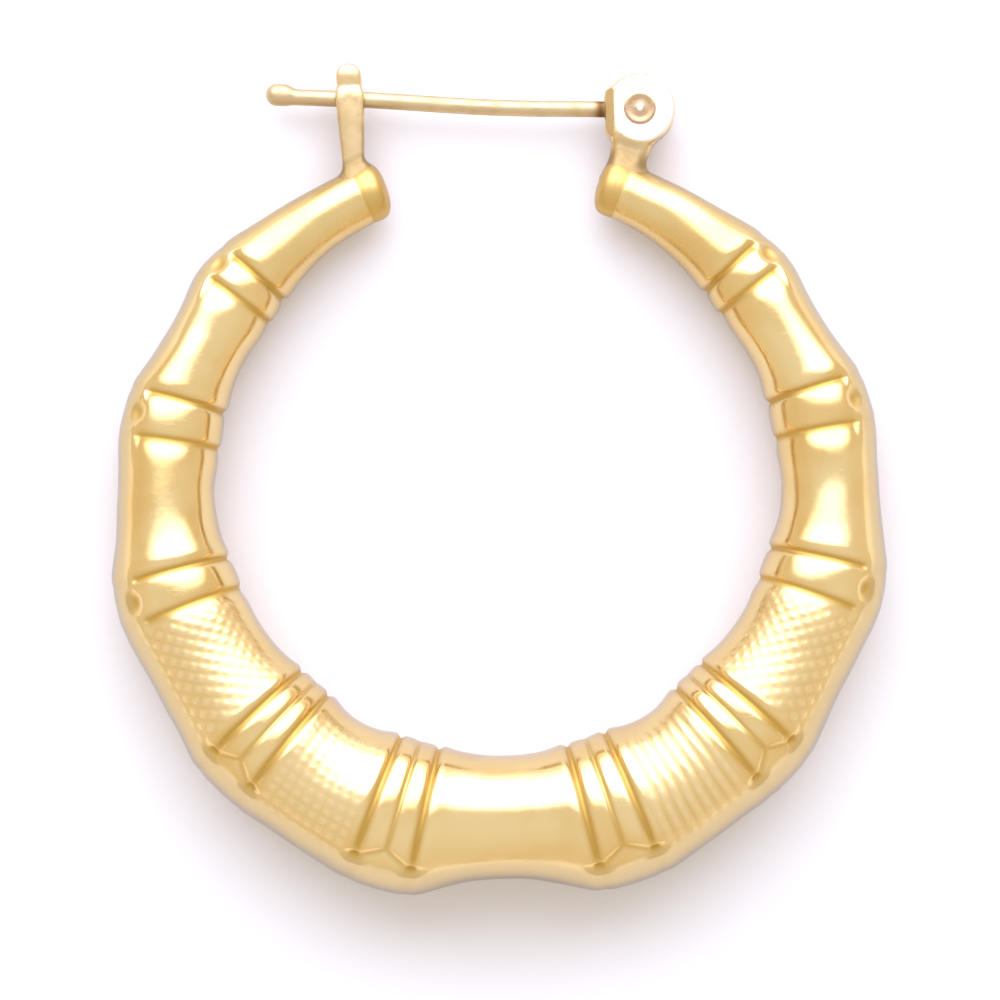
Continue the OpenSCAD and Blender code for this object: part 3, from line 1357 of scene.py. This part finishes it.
    def shape(self) -> Shape:
        """Shapes the tube with its knots, hatching and caps.

        Returns:
            Its corners in the hoop's plane, its faces and its marks.
        """
        around = self.sides()
        limit = self.end - math.degrees(self.cap_round / self.centres[-1])
        rings = self.rings()
        rings = np.concatenate([[-limit], rings[np.abs(rings) < limit], [limit]])
        angle, side = rings[:, None], around[None, :]
        marks = self.detail(angle, side)
        smooth = self.surface(angle, side, np.zeros(marks["less"].shape))
        less = marks.pop("less") - self.ripple.at(smooth)
        last = np.interp(limit, self.angles, self.radii)
        left = self.cap(last - less[0], -1.0, around)[::-1]
        right = self.cap(last - less[-1], 1.0, around)
        skin = np.concatenate([left[1:], self.surface(angle, side, less), right[:-1]])
        points = np.concatenate([skin.reshape(-1, 3), left[0, :1], right[-1, :1]])
        spare = self.cap_rings - 1
        for name, values in marks.items():
            rows = np.pad(values, ((spare, spare), (0, 0)), mode="edge")
            marks[name] = np.concatenate([rows.ravel(), values[[0, -1], 0]])
        return points, skin_faces(len(skin), len(around)), marks


# The closure


@dataclass(kw_only=True)
class PostWire(Part):
    """The ear wire: a flat eye at the hinge, a round wire and a thickened tip.

    Attributes:
        pivot: middle of the hinge in the hoop's plane, in millimetres.
        rise: how much the closed wire rises towards its tip, in degrees.
        radius: radius of the wire, in millimetres.
        length: from the pivot to the tip, in millimetres.
        sag: how far the middle of the wire lies below a straight line, in millimetres.
        held_at: where the catch holds it, in millimetres from the pivot.
        starts_at: where its round part starts, in millimetres from the pivot.
        flat_to: where its flattened sides end, in millimetres from the pivot.
        flat_edge: rounding of their edges, in millimetres.
        eye_r: radius of the eye, in millimetres.
        eye_half: half of the eye's thickness, in millimetres.
        eye_round: rounding of its edges, in millimetres.
        eye_fillet: size of the fillet between eye and wire, in millimetres.
        bore_r: radius of the eye's bore, in millimetres.
        bore_edge: rounding of the bore's edges, in millimetres.
        bore_dark: how much painted shade the eye gets around its bore, in the hinge, from 0 to 1.
        bore_fade: how far beside the bore that starts to fade, in millimetres.
        tip_r: radius of the tip, in millimetres.
        tip_long: length of its straight part, in millimetres.
        tip_lift: how far it stands above the wire's axis, in millimetres.
        tip_fillet: size of the fillet between tip and wire, in millimetres.
        dark_band_at: where a band of painted shade lies, where the wire goes into the hinge, in
            millimetres.
        dark_band_w: its half width, in millimetres.
        room: how far around the wire it is meshed, in millimetres.
        room_half: half of the thickness in which it is meshed, in millimetres.
    """

    piece: Piece = Piece("post_wire", "ear_wire", "wire_gold", ("ear_wire",))
    pivot: np.ndarray
    rise: float = 3.3
    radius: float = 0.4
    length: float = 18.55
    sag: float = 0.14
    held_at: float = 14.4
    starts_at: float = 0.9
    flat_to: float = 3.0
    flat_edge: float = 0.04
    eye_r: float = 1.1
    eye_half: float = 0.35
    eye_round: float = 0.16
    eye_fillet: float = 0.5
    bore_r: float = 0.45
    bore_edge: float = 0.05
    bore_dark: float = 0.5
    bore_fade: float = 0.1
    tip_r: float = 0.5
    tip_long: float = 0.35
    tip_lift: float = 0.12
    tip_fillet: float = 0.3
    dark_band_at: float = 1.92
    dark_band_w: float = 0.3
    room: float = 0.2
    room_half: float = 0.7

    def axes(self) -> np.ndarray:
        """Directions along the wire, up from it and out of the hoop's plane, as rows."""
        c, s = math.cos(math.radians(self.rise)), math.sin(math.radians(self.rise))
        return np.array([[-c, s, 0.0], [s, c, 0.0], [0.0, 0.0, 1.0]])

    def distance(self, local: np.ndarray) -> np.ndarray:
        """Distance to the wire.

        Args:
            local: points given along, up from and beside it, in millimetres.

        Returns:
            Distances, negative inside the wire.
        """
        along, up, beside = local[..., 0], local[..., 1], local[..., 2]
        share = np.clip(along / self.held_at, 0.0, 1.0)
        up = up + self.sag * np.sin(math.pi * share) ** 2
        end = self.length - self.tip_r
        beyond = np.maximum(along - end, 0.0) + np.minimum(along - self.starts_at, 0.0)
        wire = np.sqrt(np.square(up) + np.square(beside) + np.square(beyond)) - self.radius
        from_pivot = np.hypot(along, up)
        eye = plate(from_pivot - self.eye_r, beside, self.eye_half, self.eye_round)
        off = np.maximum(np.abs(along - end + self.tip_long / 2.0) - self.tip_long / 2.0, 0.0)
        lifted = np.sqrt(np.square(up - self.tip_lift) + np.square(beside) + np.square(off))
        slab = np.where(along < self.flat_to, np.abs(beside) - self.radius, -1.0)
        solid = keep(join(wire, eye, self.eye_fillet), slab, self.flat_edge)
        solid = join(solid, lifted - self.tip_r, self.tip_fillet)
        return cut(solid, from_pivot - self.bore_r, self.bore_edge)

    def shape(self) -> Shape:
        """Shapes the wire.

        Returns:
            Its corners in the hoop's plane, its faces and its marks.
        """
        around_eye = self.eye_r + self.room
        low = (-around_eye, -around_eye, -self.room_half)
        high = (self.length + self.room, around_eye, self.room_half)
        local, faces = self.caster.cast(self.distance, low, high)
        points = local @ self.axes() + np.array([*self.pivot, 0.0])
        off = np.hypot(local[:, 0], local[:, 1])
        # Painted shade around the bore and where the wire goes into the hinge
        eye = self.bore_dark * (1.0 - ease(off, self.bore_r + self.bore_fade, self.eye_r))
        hollow = np.maximum(eye, furrow(local[:, 0] - self.dark_band_at, self.dark_band_w))
        return points, [face[::-1] for face in faces], {"hollow": hollow}


@dataclass(kw_only=True)
class SolderedPart(Part):
    """A part of the closure that is soldered to an end of the tube.

    Attributes:
        tube: the tube that it is soldered to.
        fillet: size of the solder fillet, in millimetres.
        sunk: how far the solder lies below the tube's outside, in millimetres.
        pool: how far around the part's foot the solder reaches, in millimetres.
        clear: height above the tube from which the part needs no foot, in millimetres.
        root: how deep the part's root lies in the tube, in millimetres.
        rim: rounding of the solder's rim, in millimetres.
        joint_dark: how dull the joint's line is, from 0 to 1.
        dark_band_at: height of the joint's line above the tube, in millimetres.
        dark_band_w: its half width, in millimetres.
        heat_dark: how dull the heat left the metal, from 0 to 1.
        heat_fade: heights above the tube between which that fades, in millimetres.
        gap_dark: how much painted shade the walls of the wire's gap get, from 0 to 1.
        gap_in: half of the width that is wholly in the gap, in millimetres.
        gap_rim: how far past its walls that fades, in millimetres.
        gap_fade: over how many millimetres it fades at the end of the gap.
        room_half: half of the thickness in which the part is meshed, in millimetres.
    """

    tube: BambooTube
    fillet: float
    sunk: float = 0.05
    pool: float
    clear: float = 0.1
    root: float = 0.3
    rim: float = 0.02
    joint_dark: float = 0.95
    dark_band_at: float = 0.2
    dark_band_w: float = 0.6
    heat_dark: float
    heat_fade: tuple[float, float]
    gap_dark: float = 0.7
    gap_in: float = 0.38
    gap_rim: float = 0.06
    gap_fade: float = 0.3
    room_half: float = 1.75

    def soldered(self, body: np.ndarray, points: np.ndarray, foot: np.ndarray) -> np.ndarray:
        """Joins a body to the tube with solder, without the rest of the tube.

        Args:
            body: distance to the body.
            points: the points where that is given.
            foot: middle of the joint, in the hoop's plane.

        Returns:
            Distance to the body with its solder.
        """
        tube = self.tube.distance(points)
        solid = join(body, tube + self.sunk, self.fillet)
        off = np.hypot(np.hypot(*(points[..., i] - foot[i] for i in range(2))), points[..., 2])
        solid = keep(solid, np.minimum(off - self.pool, self.clear - tube), self.rim)
        return np.maximum(solid, -tube - self.root)

    def dulled_and_shaded(self, points: np.ndarray, gap: float, within: np.ndarray) -> np.ndarray:
        """Works out how dull the metal is around the solder, and the painted shade in the wire's gap.

        Args:
            points: corners in the hoop's plane, in millimetres.
            gap: width of the gap, in millimetres.
            within: how far in the gap each corner lies along it, from 0 to 1.

        Returns:
            A value from 0 to 1 for each corner.
        """
        above = self.tube.distance(points)
        joint = self.joint_dark * furrow(above - self.dark_band_at, self.dark_band_w)
        heated = self.heat_dark * (1.0 - ease(above, *self.heat_fade))
        # The walls inside the wire's gap get painted shade
        inside = 1.0 - ease(np.abs(points[:, 2]), self.gap_in, gap / 2.0 + self.gap_rim)
        return np.max([self.gap_dark * inside * within, joint, heated], axis=0)


@dataclass(kw_only=True)
class CatchFork(SolderedPart):
    """The forked catch on the left end: a stem with two domed prongs beside the wire.

    Attributes:
        wire: the wire that it holds.
        lean: lean towards the left, in degrees.
        height: height of the prongs above the wire's axis, in millimetres.
        tip_r: radius of their tips, in millimetres.
        tip_fillet: size of the fillet below the tips, in millimetres.
        neck_r: half of their width just below the tips, in millimetres.
        belly_r: half of their width beside the wire, in millimetres.
        belly_fillet: how softly prongs and stem meet there, in millimetres.
        stem_r: half of the stem's width at its foot, in millimetres.
        foot_depth: how deep the stem's foot lies in the tube, in millimetres.
        half: half of the fork's thickness, in millimetres.
        dome: how far its faces fall off towards the edges, in millimetres.
        dome_w: how wide that falling off is, in millimetres.
        rounding: radius of the edges, in millimetres.
        notch: how far the faces dip below the tips, in millimetres.
        notch_at: height of that dip above the wire's axis, in millimetres.
        notch_w: its half width, in millimetres.
        slot: width of the slot, in millimetres.
        slot_edge: rounding of its edges, in millimetres.
        floor_gap: room below the wire, in millimetres.
        room: how far beside and below its axis it is meshed, in millimetres.
        room_top: how far above its tips it is meshed, in millimetres.
    """

    piece: Piece = Piece("catch_fork", "hoop", "hoop_gold", ("hoop",))
    wire: PostWire
    lean: float = 2.0
    height: float = 1.7
    tip_r: float = 0.6
    tip_fillet: float = 0.2
    neck_r: float = 0.52
    belly_r: float = 0.7
    belly_fillet: float = 0.1
    stem_r: float = 0.5
    foot_depth: float = 0.3
    half: float = 0.82
    dome: float = 0.1
    dome_w: float = 0.6
    rounding: float = 0.13
    notch: float = 0.05
    notch_at: float = 0.62
    notch_w: float = 0.24
    slot: float = 0.9
    slot_edge: float = 0.07
    floor_gap: float = 0.05
    fillet: float = 0.55
    pool: float = 1.7
    heat_dark: float = 0.5
    heat_fade: tuple[float, float] = (2.4, 3.5)
    room: float = 2.0
    room_top: float = 0.2

    @property
    def at(self) -> np.ndarray:
        """Where the wire's axis passes through the fork, in the hoop's plane."""
        return self.wire.pivot + self.wire.held_at * self.wire.axes()[0, :2]

    @property
    def foot(self) -> np.ndarray:
        """Where the stem's axis meets the tube's outside."""
        outside = self.tube.centres[-1] + self.tube.radii[-1]
        return np.array([self.at[0], math.sqrt(outside**2 - self.at[0] ** 2)])

    def distance(self, points: np.ndarray) -> np.ndarray:
        """Distance to the fork with its solder.

        Args:
            points: points in the hoop's plane, in millimetres.

        Returns:
            Distances, negative inside the fork.
        """
        c, s = math.cos(math.radians(self.lean)), math.sin(math.radians(self.lean))
        rel = points[..., :2] - self.at
        local = np.stack([rel[..., 0] * c + rel[..., 1] * s, rel[..., 1] * c - rel[..., 0] * s], -1)
        belly = np.zeros(2)
        tip = np.array([0.0, self.height - self.tip_r])
        foot = np.array([0.0, self.foot[1] - self.at[1] - self.foot_depth])
        knob = np.hypot(local[..., 0], local[..., 1] - tip[1]) - self.tip_r
        prong = bar_outline(local, tip, self.neck_r, belly, self.belly_r)
        stem = bar_outline(local, belly, self.belly_r, foot, self.stem_r)
        outline = join(join(knob, prong, self.tip_fillet), stem, self.belly_fillet)
        edge = 1.0 - np.clip(-outline / self.dome_w, 0.0, 1.0)
        half = self.half - self.dome * np.square(edge)
        half = half - self.notch * furrow(local[..., 1] - self.notch_at, self.notch_w)
        body = plate(outline, points[..., 2], half, self.rounding)
        floor = -self.wire.radius - self.floor_gap - rel @ self.wire.axes()[1, :2]
        slot = np.maximum(np.abs(points[..., 2]) - self.slot / 2.0, floor)
        return self.soldered(cut(body, slot, self.slot_edge), points, self.foot)

    def shape(self) -> Shape:
        """Shapes the fork.

        Returns:
            Its corners in the hoop's plane, its faces and its marks.
        """
        low = (self.at[0] - self.room, self.foot[1] - self.room, -self.room_half)
        high = (self.at[0] + self.room, self.at[1] + self.height + self.room_top, self.room_half)
        points, faces = self.caster.cast(self.distance, low, high)
        level = (points[:, :2] - self.at) @ self.wire.axes()[1, :2]
        within = ease(level, -self.wire.radius - self.gap_fade, -self.wire.radius)
        return points, faces, {"hollow": self.dulled_and_shaded(points, self.slot, within)}


@dataclass(kw_only=True)
class HingeEars(SolderedPart):
    """The hinge on the right end: two round ears on a neck that is soldered to the tube.

    Attributes:
        pivot: middle of the hinge in the hoop's plane, in millimetres.
        ear_r: radius of the ears, in millimetres.
        half: half of the hinge's thickness, in millimetres.
        rounding: radius of the ears' edges, in millimetres.
        gap: room between the ears, in millimetres.
        gap_edge: rounding of its edges, in millimetres.
        eye_room: how far below the pivot that room reaches, in millimetres.
        neck_r: radius of the neck at its foot, in millimetres.
        neck_top: its radius at the pivot, as a share of the ears'.
        neck_half: half of its thickness, as a share of the hinge's.
        neck_round: rounding of its edges, in millimetres.
        neck_fillet: how softly it meets the ears, in millimetres.
        neck_angle: where the neck stands on the tube, in degrees from the hoop's top.
        neck_rise: its middle above the tube's outside, in millimetres.
        bore_r: radius of the bore, in millimetres.
        bore_edge: rounding of its edges, in millimetres.
        cheek_a: middle of the cheek's upper round, from the pivot, in millimetres.
        cheek_b: middle of its lower round.
        cheek_r: radius of both.
        cheek_fillet: how softly the cheek meets the ears, in millimetres.
        bevel_x: where the cheek's bevel starts on the face, from the pivot.
        bevel_tilt: slope of the bevel, in degrees.
        bevel_edge: rounding of its edge, in millimetres.
        bevel_dark: how much painted shade it gets, from 0 to 1.
        bevel_fade: how far past its edge that fades, in millimetres.
        satin_highlight_rise: depths below the faces between which satin and painted highlight fade
            in.
        satin_highlight_fade: how far inside the ears' edge it starts to fade out.
        satin_highlight_x: how far right of the pivot its middle lies.
        room_foot: how far beside and below the neck it is meshed, in millimetres.
        room_ears: how far beside and above the pivot it is meshed.
    """

    piece: Piece = Piece("hinge_ears", "hoop", "hoop_gold", ("hoop",))
    pivot: np.ndarray
    ear_r: float = 1.75
    half: float = 0.86
    rounding: float = 0.2
    gap: float = 0.92
    gap_edge: float = 0.05
    eye_room: float = 1.3
    neck_r: float = 0.92
    neck_top: float = 0.72
    neck_half: float = 0.92
    neck_round: float = 0.5
    neck_fillet: float = 0.35
    neck_angle: float = 22.6
    neck_rise: float = 0.15
    bore_r: float = 0.42
    bore_edge: float = 0.04
    cheek_a: tuple[float, float] = (-1.33, 0.6)
    cheek_b: tuple[float, float] = (-1.22, -0.9)
    cheek_r: float = 0.48
    cheek_fillet: float = 0.15
    bevel_x: float = -1.3
    bevel_tilt: float = 41.0
    bevel_edge: float = 0.05
    bevel_dark: float = 0.24
    bevel_fade: float = 0.06
    satin_highlight_rise: tuple[float, float] = (0.12, 0.04)
    satin_highlight_fade: float = 0.2
    satin_highlight_x: float = 0.2
    fillet: float = 0.6
    pool: float = 1.9
    heat_dark: float = 0.3
    heat_fade: tuple[float, float] = (0.9, 1.6)
    room_foot: float = 2.1
    room_ears: float = 2.0

    @property
    def neck(self) -> np.ndarray:
        """Middle of the neck in the hoop's plane.

        Returns:
            Its X and Y, in millimetres.
        """
        turn = math.radians(self.neck_angle)
        reach = self.tube.centres[-1] + self.tube.radii[-1] + self.neck_rise
        return reach * np.array([math.sin(turn), math.cos(turn)])

    def bevel(self, across: np.ndarray, height: np.ndarray) -> np.ndarray:
        """Distance to the planes that slope off towards the wire, on both faces.

        Args:
            across: millimetres to the right of the pivot.
            height: millimetres above the middle plane.

        Returns:
            Distances, negative below the planes.
        """
        slope = math.radians(self.bevel_tilt)
        out = (self.bevel_x - across) * math.sin(slope)
        return out + (np.abs(height) - self.half) * math.cos(slope)

    def distance(self, points: np.ndarray) -> np.ndarray:
        """Distance to the ears and the neck with its solder.

        Args:
            points: points in the hoop's plane, in millimetres.

        Returns:
            Distances, negative inside the metal.
        """
        z = points[..., 2]
        rel = points[..., :2] - self.pivot
        off = np.hypot(rel[..., 0], rel[..., 1])
        cheek = bar_outline(
            rel, np.array(self.cheek_a), self.cheek_r, np.array(self.cheek_b), self.cheek_r
        )
        ears = join(off - self.ear_r, cheek, self.cheek_fillet)
        body = plate(ears, z, self.half, self.rounding)
        body = keep(body, self.bevel(rel[..., 0], z), self.bevel_edge)
        top_r = self.ear_r * self.neck_top
        neck = bar_outline(points, self.pivot, top_r, self.neck, self.neck_r)
        neck = plate(neck, z, self.half * self.neck_half, self.neck_round)
        body = join(body, neck, self.neck_fillet)
        room = np.minimum(off - self.eye_room, -rel[..., 1] - self.eye_room)
        body = cut(body, np.maximum(room, np.abs(z) - self.gap / 2.0), self.gap_edge)
        return self.soldered(cut(body, off - self.bore_r, self.bore_edge), points, self.neck)

    def shape(self) -> Shape:
        """Shapes the ears.

        Returns:
            Their corners in the hoop's plane, their faces and their marks.
        """
        low = (*(self.neck - self.room_foot), -self.room_half)
        high = (*(self.pivot + self.room_ears), self.room_half)
        points, faces = self.caster.cast(self.distance, low, high)
        across, up = (points[:, :2] - self.pivot).T
        height = np.abs(points[:, 2])
        ends = (self.ear_r + side * self.gap_fade for side in (-1.0, 1.0))
        within = 1.0 - ease(np.hypot(across, up), *ends)
        # The bevel gets painted shade
        sloped = 1.0 - ease(-self.bevel(across, height), 0.0, self.bevel_fade)
        hollow = np.maximum(self.dulled_and_shaded(points, self.gap, within), self.bevel_dark * sloped)
        # The flat faces get satin and a near-white painted highlight
        flat = ease(height, *(self.half - depth for depth in self.satin_highlight_rise))
        off = np.hypot(across - self.satin_highlight_x, up)
        flat = flat * (1.0 - ease(off, self.ear_r - self.satin_highlight_fade, self.ear_r)) * (1.0 - sloped)
        return points, faces, {"hollow": hollow, "brushed": flat}


@dataclass(kw_only=True)
class RivetPin(Part):
    """The rivet through the ears, with a head on both sides.

    Attributes:
        pivot: middle of the hinge in the hoop's plane, in millimetres.
        inside: height of the ears' outer faces, in millimetres.
        shank_r: radius of the shank, in millimetres.
        head_r: radius of the heads, in millimetres.
        head_h: height of the heads, in millimetres.
        edge_r: rounding of their edges, in millimetres.
        under_r: rounding below them, in millimetres.
        dish: how far their faces are dished, in millimetres.
        dot_r: radius of the raised dot in their middle, in millimetres.
        dot_h: height of the dot above the face, in millimetres.
        dot_bright: radii between which its painted highlight fades, as shares of its own.
        seam_dark: how much painted shade the heads get where they meet the ears, from 0 to 1.
        seam_w: half of the width of that dull ring, in millimetres.
        sides: how many sides the mesh has.
        steps: at how many places the edge, the face and the dot are worked out.
    """

    piece: Piece = Piece("rivet_pin", "hoop", "rivet_gold", ("hinge_rivet",))
    pivot: np.ndarray
    inside: float = 0.88
    shank_r: float = 0.4
    head_r: float = 0.79
    head_h: float = 0.24
    edge_r: float = 0.08
    under_r: float = 0.03
    dish: float = 0.015
    dot_r: float = 0.2
    dot_h: float = 0.05
    dot_bright: tuple[float, float] = (0.5, 1.2)
    seam_dark: float = 0.7
    seam_w: float = 0.05
    sides: int = 96
    steps: tuple[int, int, int] = (7, 9, 8)

    def half_outline(self) -> list[tuple[float, float]]:
        """Radius and height of the upper half's rings, from the middle plane to the top.

        Returns:
            One pair for each ring.
        """
        face = self.inside + self.head_h - self.dot_h
        flat_r = self.head_r - self.edge_r
        rings = [
            (self.shank_r, 0.0),
            (self.shank_r, self.inside - self.under_r),
            (self.shank_r + self.under_r * 2.0 / 3.0, self.inside - self.under_r / 3.0),
            (self.head_r - self.under_r, self.inside),
            (self.head_r, self.inside + self.under_r),
        ]
        for turn in np.linspace(0.0, math.pi / 2.0, self.steps[0]):
            drop = self.edge_r * (1.0 - math.sin(turn))
            rings.append((flat_r + self.edge_r * math.cos(turn), face - drop))
        for share in np.linspace(0.0, 1.0, self.steps[1])[1:]:
            dip = self.dish * (math.sin(math.pi * share) ** 2 + share)
            rings.append((mix(flat_r, self.dot_r, share), face - dip))
        for turn in np.linspace(0.0, math.pi / 2.0, self.steps[2])[1:-1]:
            rise = (self.dot_h + self.dish) * math.sin(turn) - self.dish
            rings.append((self.dot_r * math.cos(turn), face + rise))
        return rings

    def shape(self) -> Shape:
        """Shapes the rivet.

        Returns:
            Its corners in the hoop's plane, its faces and its marks.
        """
        upper = self.half_outline()
        rings = [(radius, -height) for radius, height in upper[:0:-1]] + upper
        turn = np.linspace(0.0, 2.0 * math.pi, self.sides, endpoint=False)
        skin = [
            np.stack([r * np.cos(turn), r * np.sin(turn), np.full(self.sides, h)], axis=-1)
            for r, h in rings
        ]
        top = self.inside + self.head_h
        rel = np.concatenate([*skin, [[0.0, 0.0, -top], [0.0, 0.0, top]]])
        faces = [face[::-1] for face in skin_faces(len(rings), self.sides)]
        # Painted shade where the heads meet the ears, and a painted highlight on the dot
        edge = furrow(np.abs(rel[:, 2]) - self.inside, self.seam_w)
        ends = (self.dot_r * share for share in self.dot_bright)
        crown_highlight = 1.0 - ease(np.hypot(rel[:, 0], rel[:, 1]), *ends)
        marks = {"hollow": self.seam_dark * edge, "brushed": crown_highlight}
        return rel + np.array([*self.pivot, 0.0]), faces, marks


# The studio


@dataclass(frozen=True)
class Studio:
    """A pale floor under a wide soft light towards the hoop's closure.

    Attributes:
        floor_m: side of the floor, in metres.
        floor_colour: its colour.
        floor_dark: colour of its darker clouds, as a share of that.
        floor_rough: least and most roughness of the floor.
        tooth_mm: size of its tooth.
        tooth_depth_mm: depth of the tooth.
        cloud_mm: size of the clouds.
        light_zenith: how far the light's middle stands from straight overhead, in degrees.
        light_wide: how much wider than high the light is.
        light_colour: its colour, cooler than the room's.
        light_full: half angle within which it has its full strength, in degrees.
        light_edge: half angle at which it ends, in degrees.
        light_strength: its strength.
        overhead: colour and strength of the room overhead.
        horizon: colour and strength of the room at the horizon.
        horizon_top: height at which the room starts to brighten; 1 is overhead.
    """

    floor_m: float = 6.0
    floor_colour: Colour = (0.855, 0.82, 0.785)
    floor_dark: float = 0.985
    floor_rough: tuple[float, float] = (0.75, 0.9)
    tooth_mm: float = 0.5
    tooth_depth_mm: float = 0.01
    cloud_mm: float = 40.0
    light_zenith: float = 53.0
    light_wide: float = 1.5
    light_colour: Colour = (0.88, 0.96, 1.3)
    light_full: float = 22.0
    light_edge: float = 43.0
    light_strength: float = 2.75
    overhead: Colour = (0.94, 0.95, 1.03)
    horizon: Colour = (0.90, 0.84, 0.78)
    horizon_top: float = 0.35

    def build(self) -> None:
        """Makes the floor and the light."""
        self._floor()
        self._world()
        log.info("studio: floor %.1f m wide", self.floor_m)

    def _floor(self) -> None:
        """Lays a matt floor with a faint tooth."""
        half = self.floor_m / 2.0
        mesh = bpy.data.meshes.new("floor")
        corners = [(-half, -half, 0.0), (half, -half, 0.0), (half, half, 0.0), (-half, half, 0.0)]
        mesh.from_pydata(corners, [], [(0, 1, 2, 3)])
        floor = bpy.data.objects.new("floor", mesh)
        bpy.context.scene.collection.objects.link(floor)
        board = Board(bpy.data.materials.new("pale_card"))
        at = board.add("TexCoord").outputs["Object"]
        tooth = board.noise(at, self.tooth_mm, detail=3.0)
        cloudy = board.ranged(board.noise(at, self.cloud_mm), low=0.3, high=0.7)
        darker = tuple(value * self.floor_dark for value in self.floor_colour)
        bump = board.add("Bump", {"Height": tooth, "Distance": self.tooth_depth_mm * MM})
        values = {
            "Base Color": board.blend(cloudy, self.floor_colour, darker),
            "Roughness": board.ranged(tooth, low=0.3, high=0.7, to=self.floor_rough),
            "Normal": bump.outputs[0],
        }
        mesh.materials.append(board.dress(values))

    def _world(self) -> None:
        """Lights the room: bright overhead, darker at the horizon, and one wide soft light."""
        world = bpy.data.worlds.new("studio")
        bpy.context.scene.world = world
        board = Board(world)
        way = board.add("TexCoord").outputs["Generated"]
        lean = math.radians(self.light_zenith)
        middle = (0.0, math.sin(lean), math.cos(lean))
        narrow = (1.0 / self.light_wide, 1.0, 1.0)
        squeezed = board.add("VectorMath", {0: way, 1: narrow}, operation="MULTIPLY")
        unit = board.add("VectorMath", {0: squeezed.outputs["Vector"]}, operation="NORMALIZE")
        values = {0: unit.outputs["Vector"], 1: middle}
        facing = board.add("VectorMath", values, operation="DOT_PRODUCT")
        ends = (math.cos(math.radians(angle)) for angle in (self.light_edge, self.light_full))
        lamp = board.ranged(facing.outputs["Value"], *ends, (0.0, self.light_strength))
        shine = {"Color": (*self.light_colour, 1.0), "Strength": lamp}
        up = board.add("SeparateXYZ", {0: way}).outputs["Z"]
        room = board.blend(board.ranged(up, self.horizon_top, 1.0), self.horizon, self.overhead)
        both = {
            number: board.add("Background", values).outputs[0]
            for number, values in enumerate((shine, {"Color": room}))
        }
        board.add("OutputWorld", {"Surface": board.add("AddShader", both).outputs[0]})
        bpy.context.scene.view_settings.view_transform = "Standard"


@dataclass(frozen=True)
class Viewpoint:
    """The camera, straight above the earring.

    Attributes:
        frame_px: side of the picture, in pixels.
        mm_per_px: size of a pixel on the earring, in millimetres.
        centre_px: where the hoop's centre shows in the picture, in pixels.
        turn: how far the earring lies turned in the picture, in degrees.
        above_mm: height of the camera above the hoop, in millimetres.
        sensor_mm: width of the camera's sensor, in millimetres.
        near: nearest distance that it sees, as a share of its height.
        far_m: farthest distance that it sees, in metres.
    """

    frame_px: float = 1000.0
    mm_per_px: float = 0.0495
    centre_px: tuple[float, float] = (498.0, 487.0)
    turn: float = 1.1
    above_mm: float = 300.0
    sensor_mm: float = 36.0
    near: float = 0.1
    far_m: float = 100.0

    def build(self, lie: Lie) -> bpy.types.Object:
        """Makes the camera.

        Args:
            lie: how the hoop lies.

        Returns:
            The camera.
        """
        across = (self.frame_px / 2.0 - self.centre_px[0]) * self.mm_per_px
        up = (self.centre_px[1] - self.frame_px / 2.0) * self.mm_per_px
        c, s = math.cos(math.radians(self.turn)), math.sin(math.radians(self.turn))
        offset = np.array([across * c + up * s, up * c - across * s, self.above_mm])
        data = bpy.data.cameras.new("camera")
        data.sensor_width = self.sensor_mm
        data.lens = self.sensor_mm * self.above_mm / (self.frame_px * self.mm_per_px)
        data.clip_start = self.above_mm * self.near * MM
        data.clip_end = self.far_m
        camera = bpy.data.objects.new("camera", data)
        camera.location = (lie.shift + offset) * MM
        camera.rotation_euler = (0.0, 0.0, math.radians(-self.turn))
        bpy.context.scene.collection.objects.link(camera)
        bpy.context.scene.camera = camera
        return camera


def main() -> None:
    """Builds the earring, piece by piece, and the studio around it."""
    logging.basicConfig(level=logging.INFO, format="%(name)s: %(message)s")
    pivot = np.array(PIVOT)
    lie = Lie.from_hinge(frame["joints"][0], pivot)
    tube = BambooTube(lie=lie)
    wire = PostWire(lie=lie, pivot=pivot)
    Viewpoint().build(lie)
    for part, finish in (
        (tube, POLISHED_GOLD),
        (CatchFork(lie=lie, tube=tube, wire=wire), SOLDERED_GOLD),
        (HingeEars(lie=lie, tube=tube, pivot=pivot), SOLDERED_GOLD),
        (RivetPin(lie=lie, pivot=pivot), RIVET_GOLD),
        (wire, DRAWN_GOLD),
    ):
        part.build(finish)
    Studio().build()


if __name__ == "__main__":
    main()
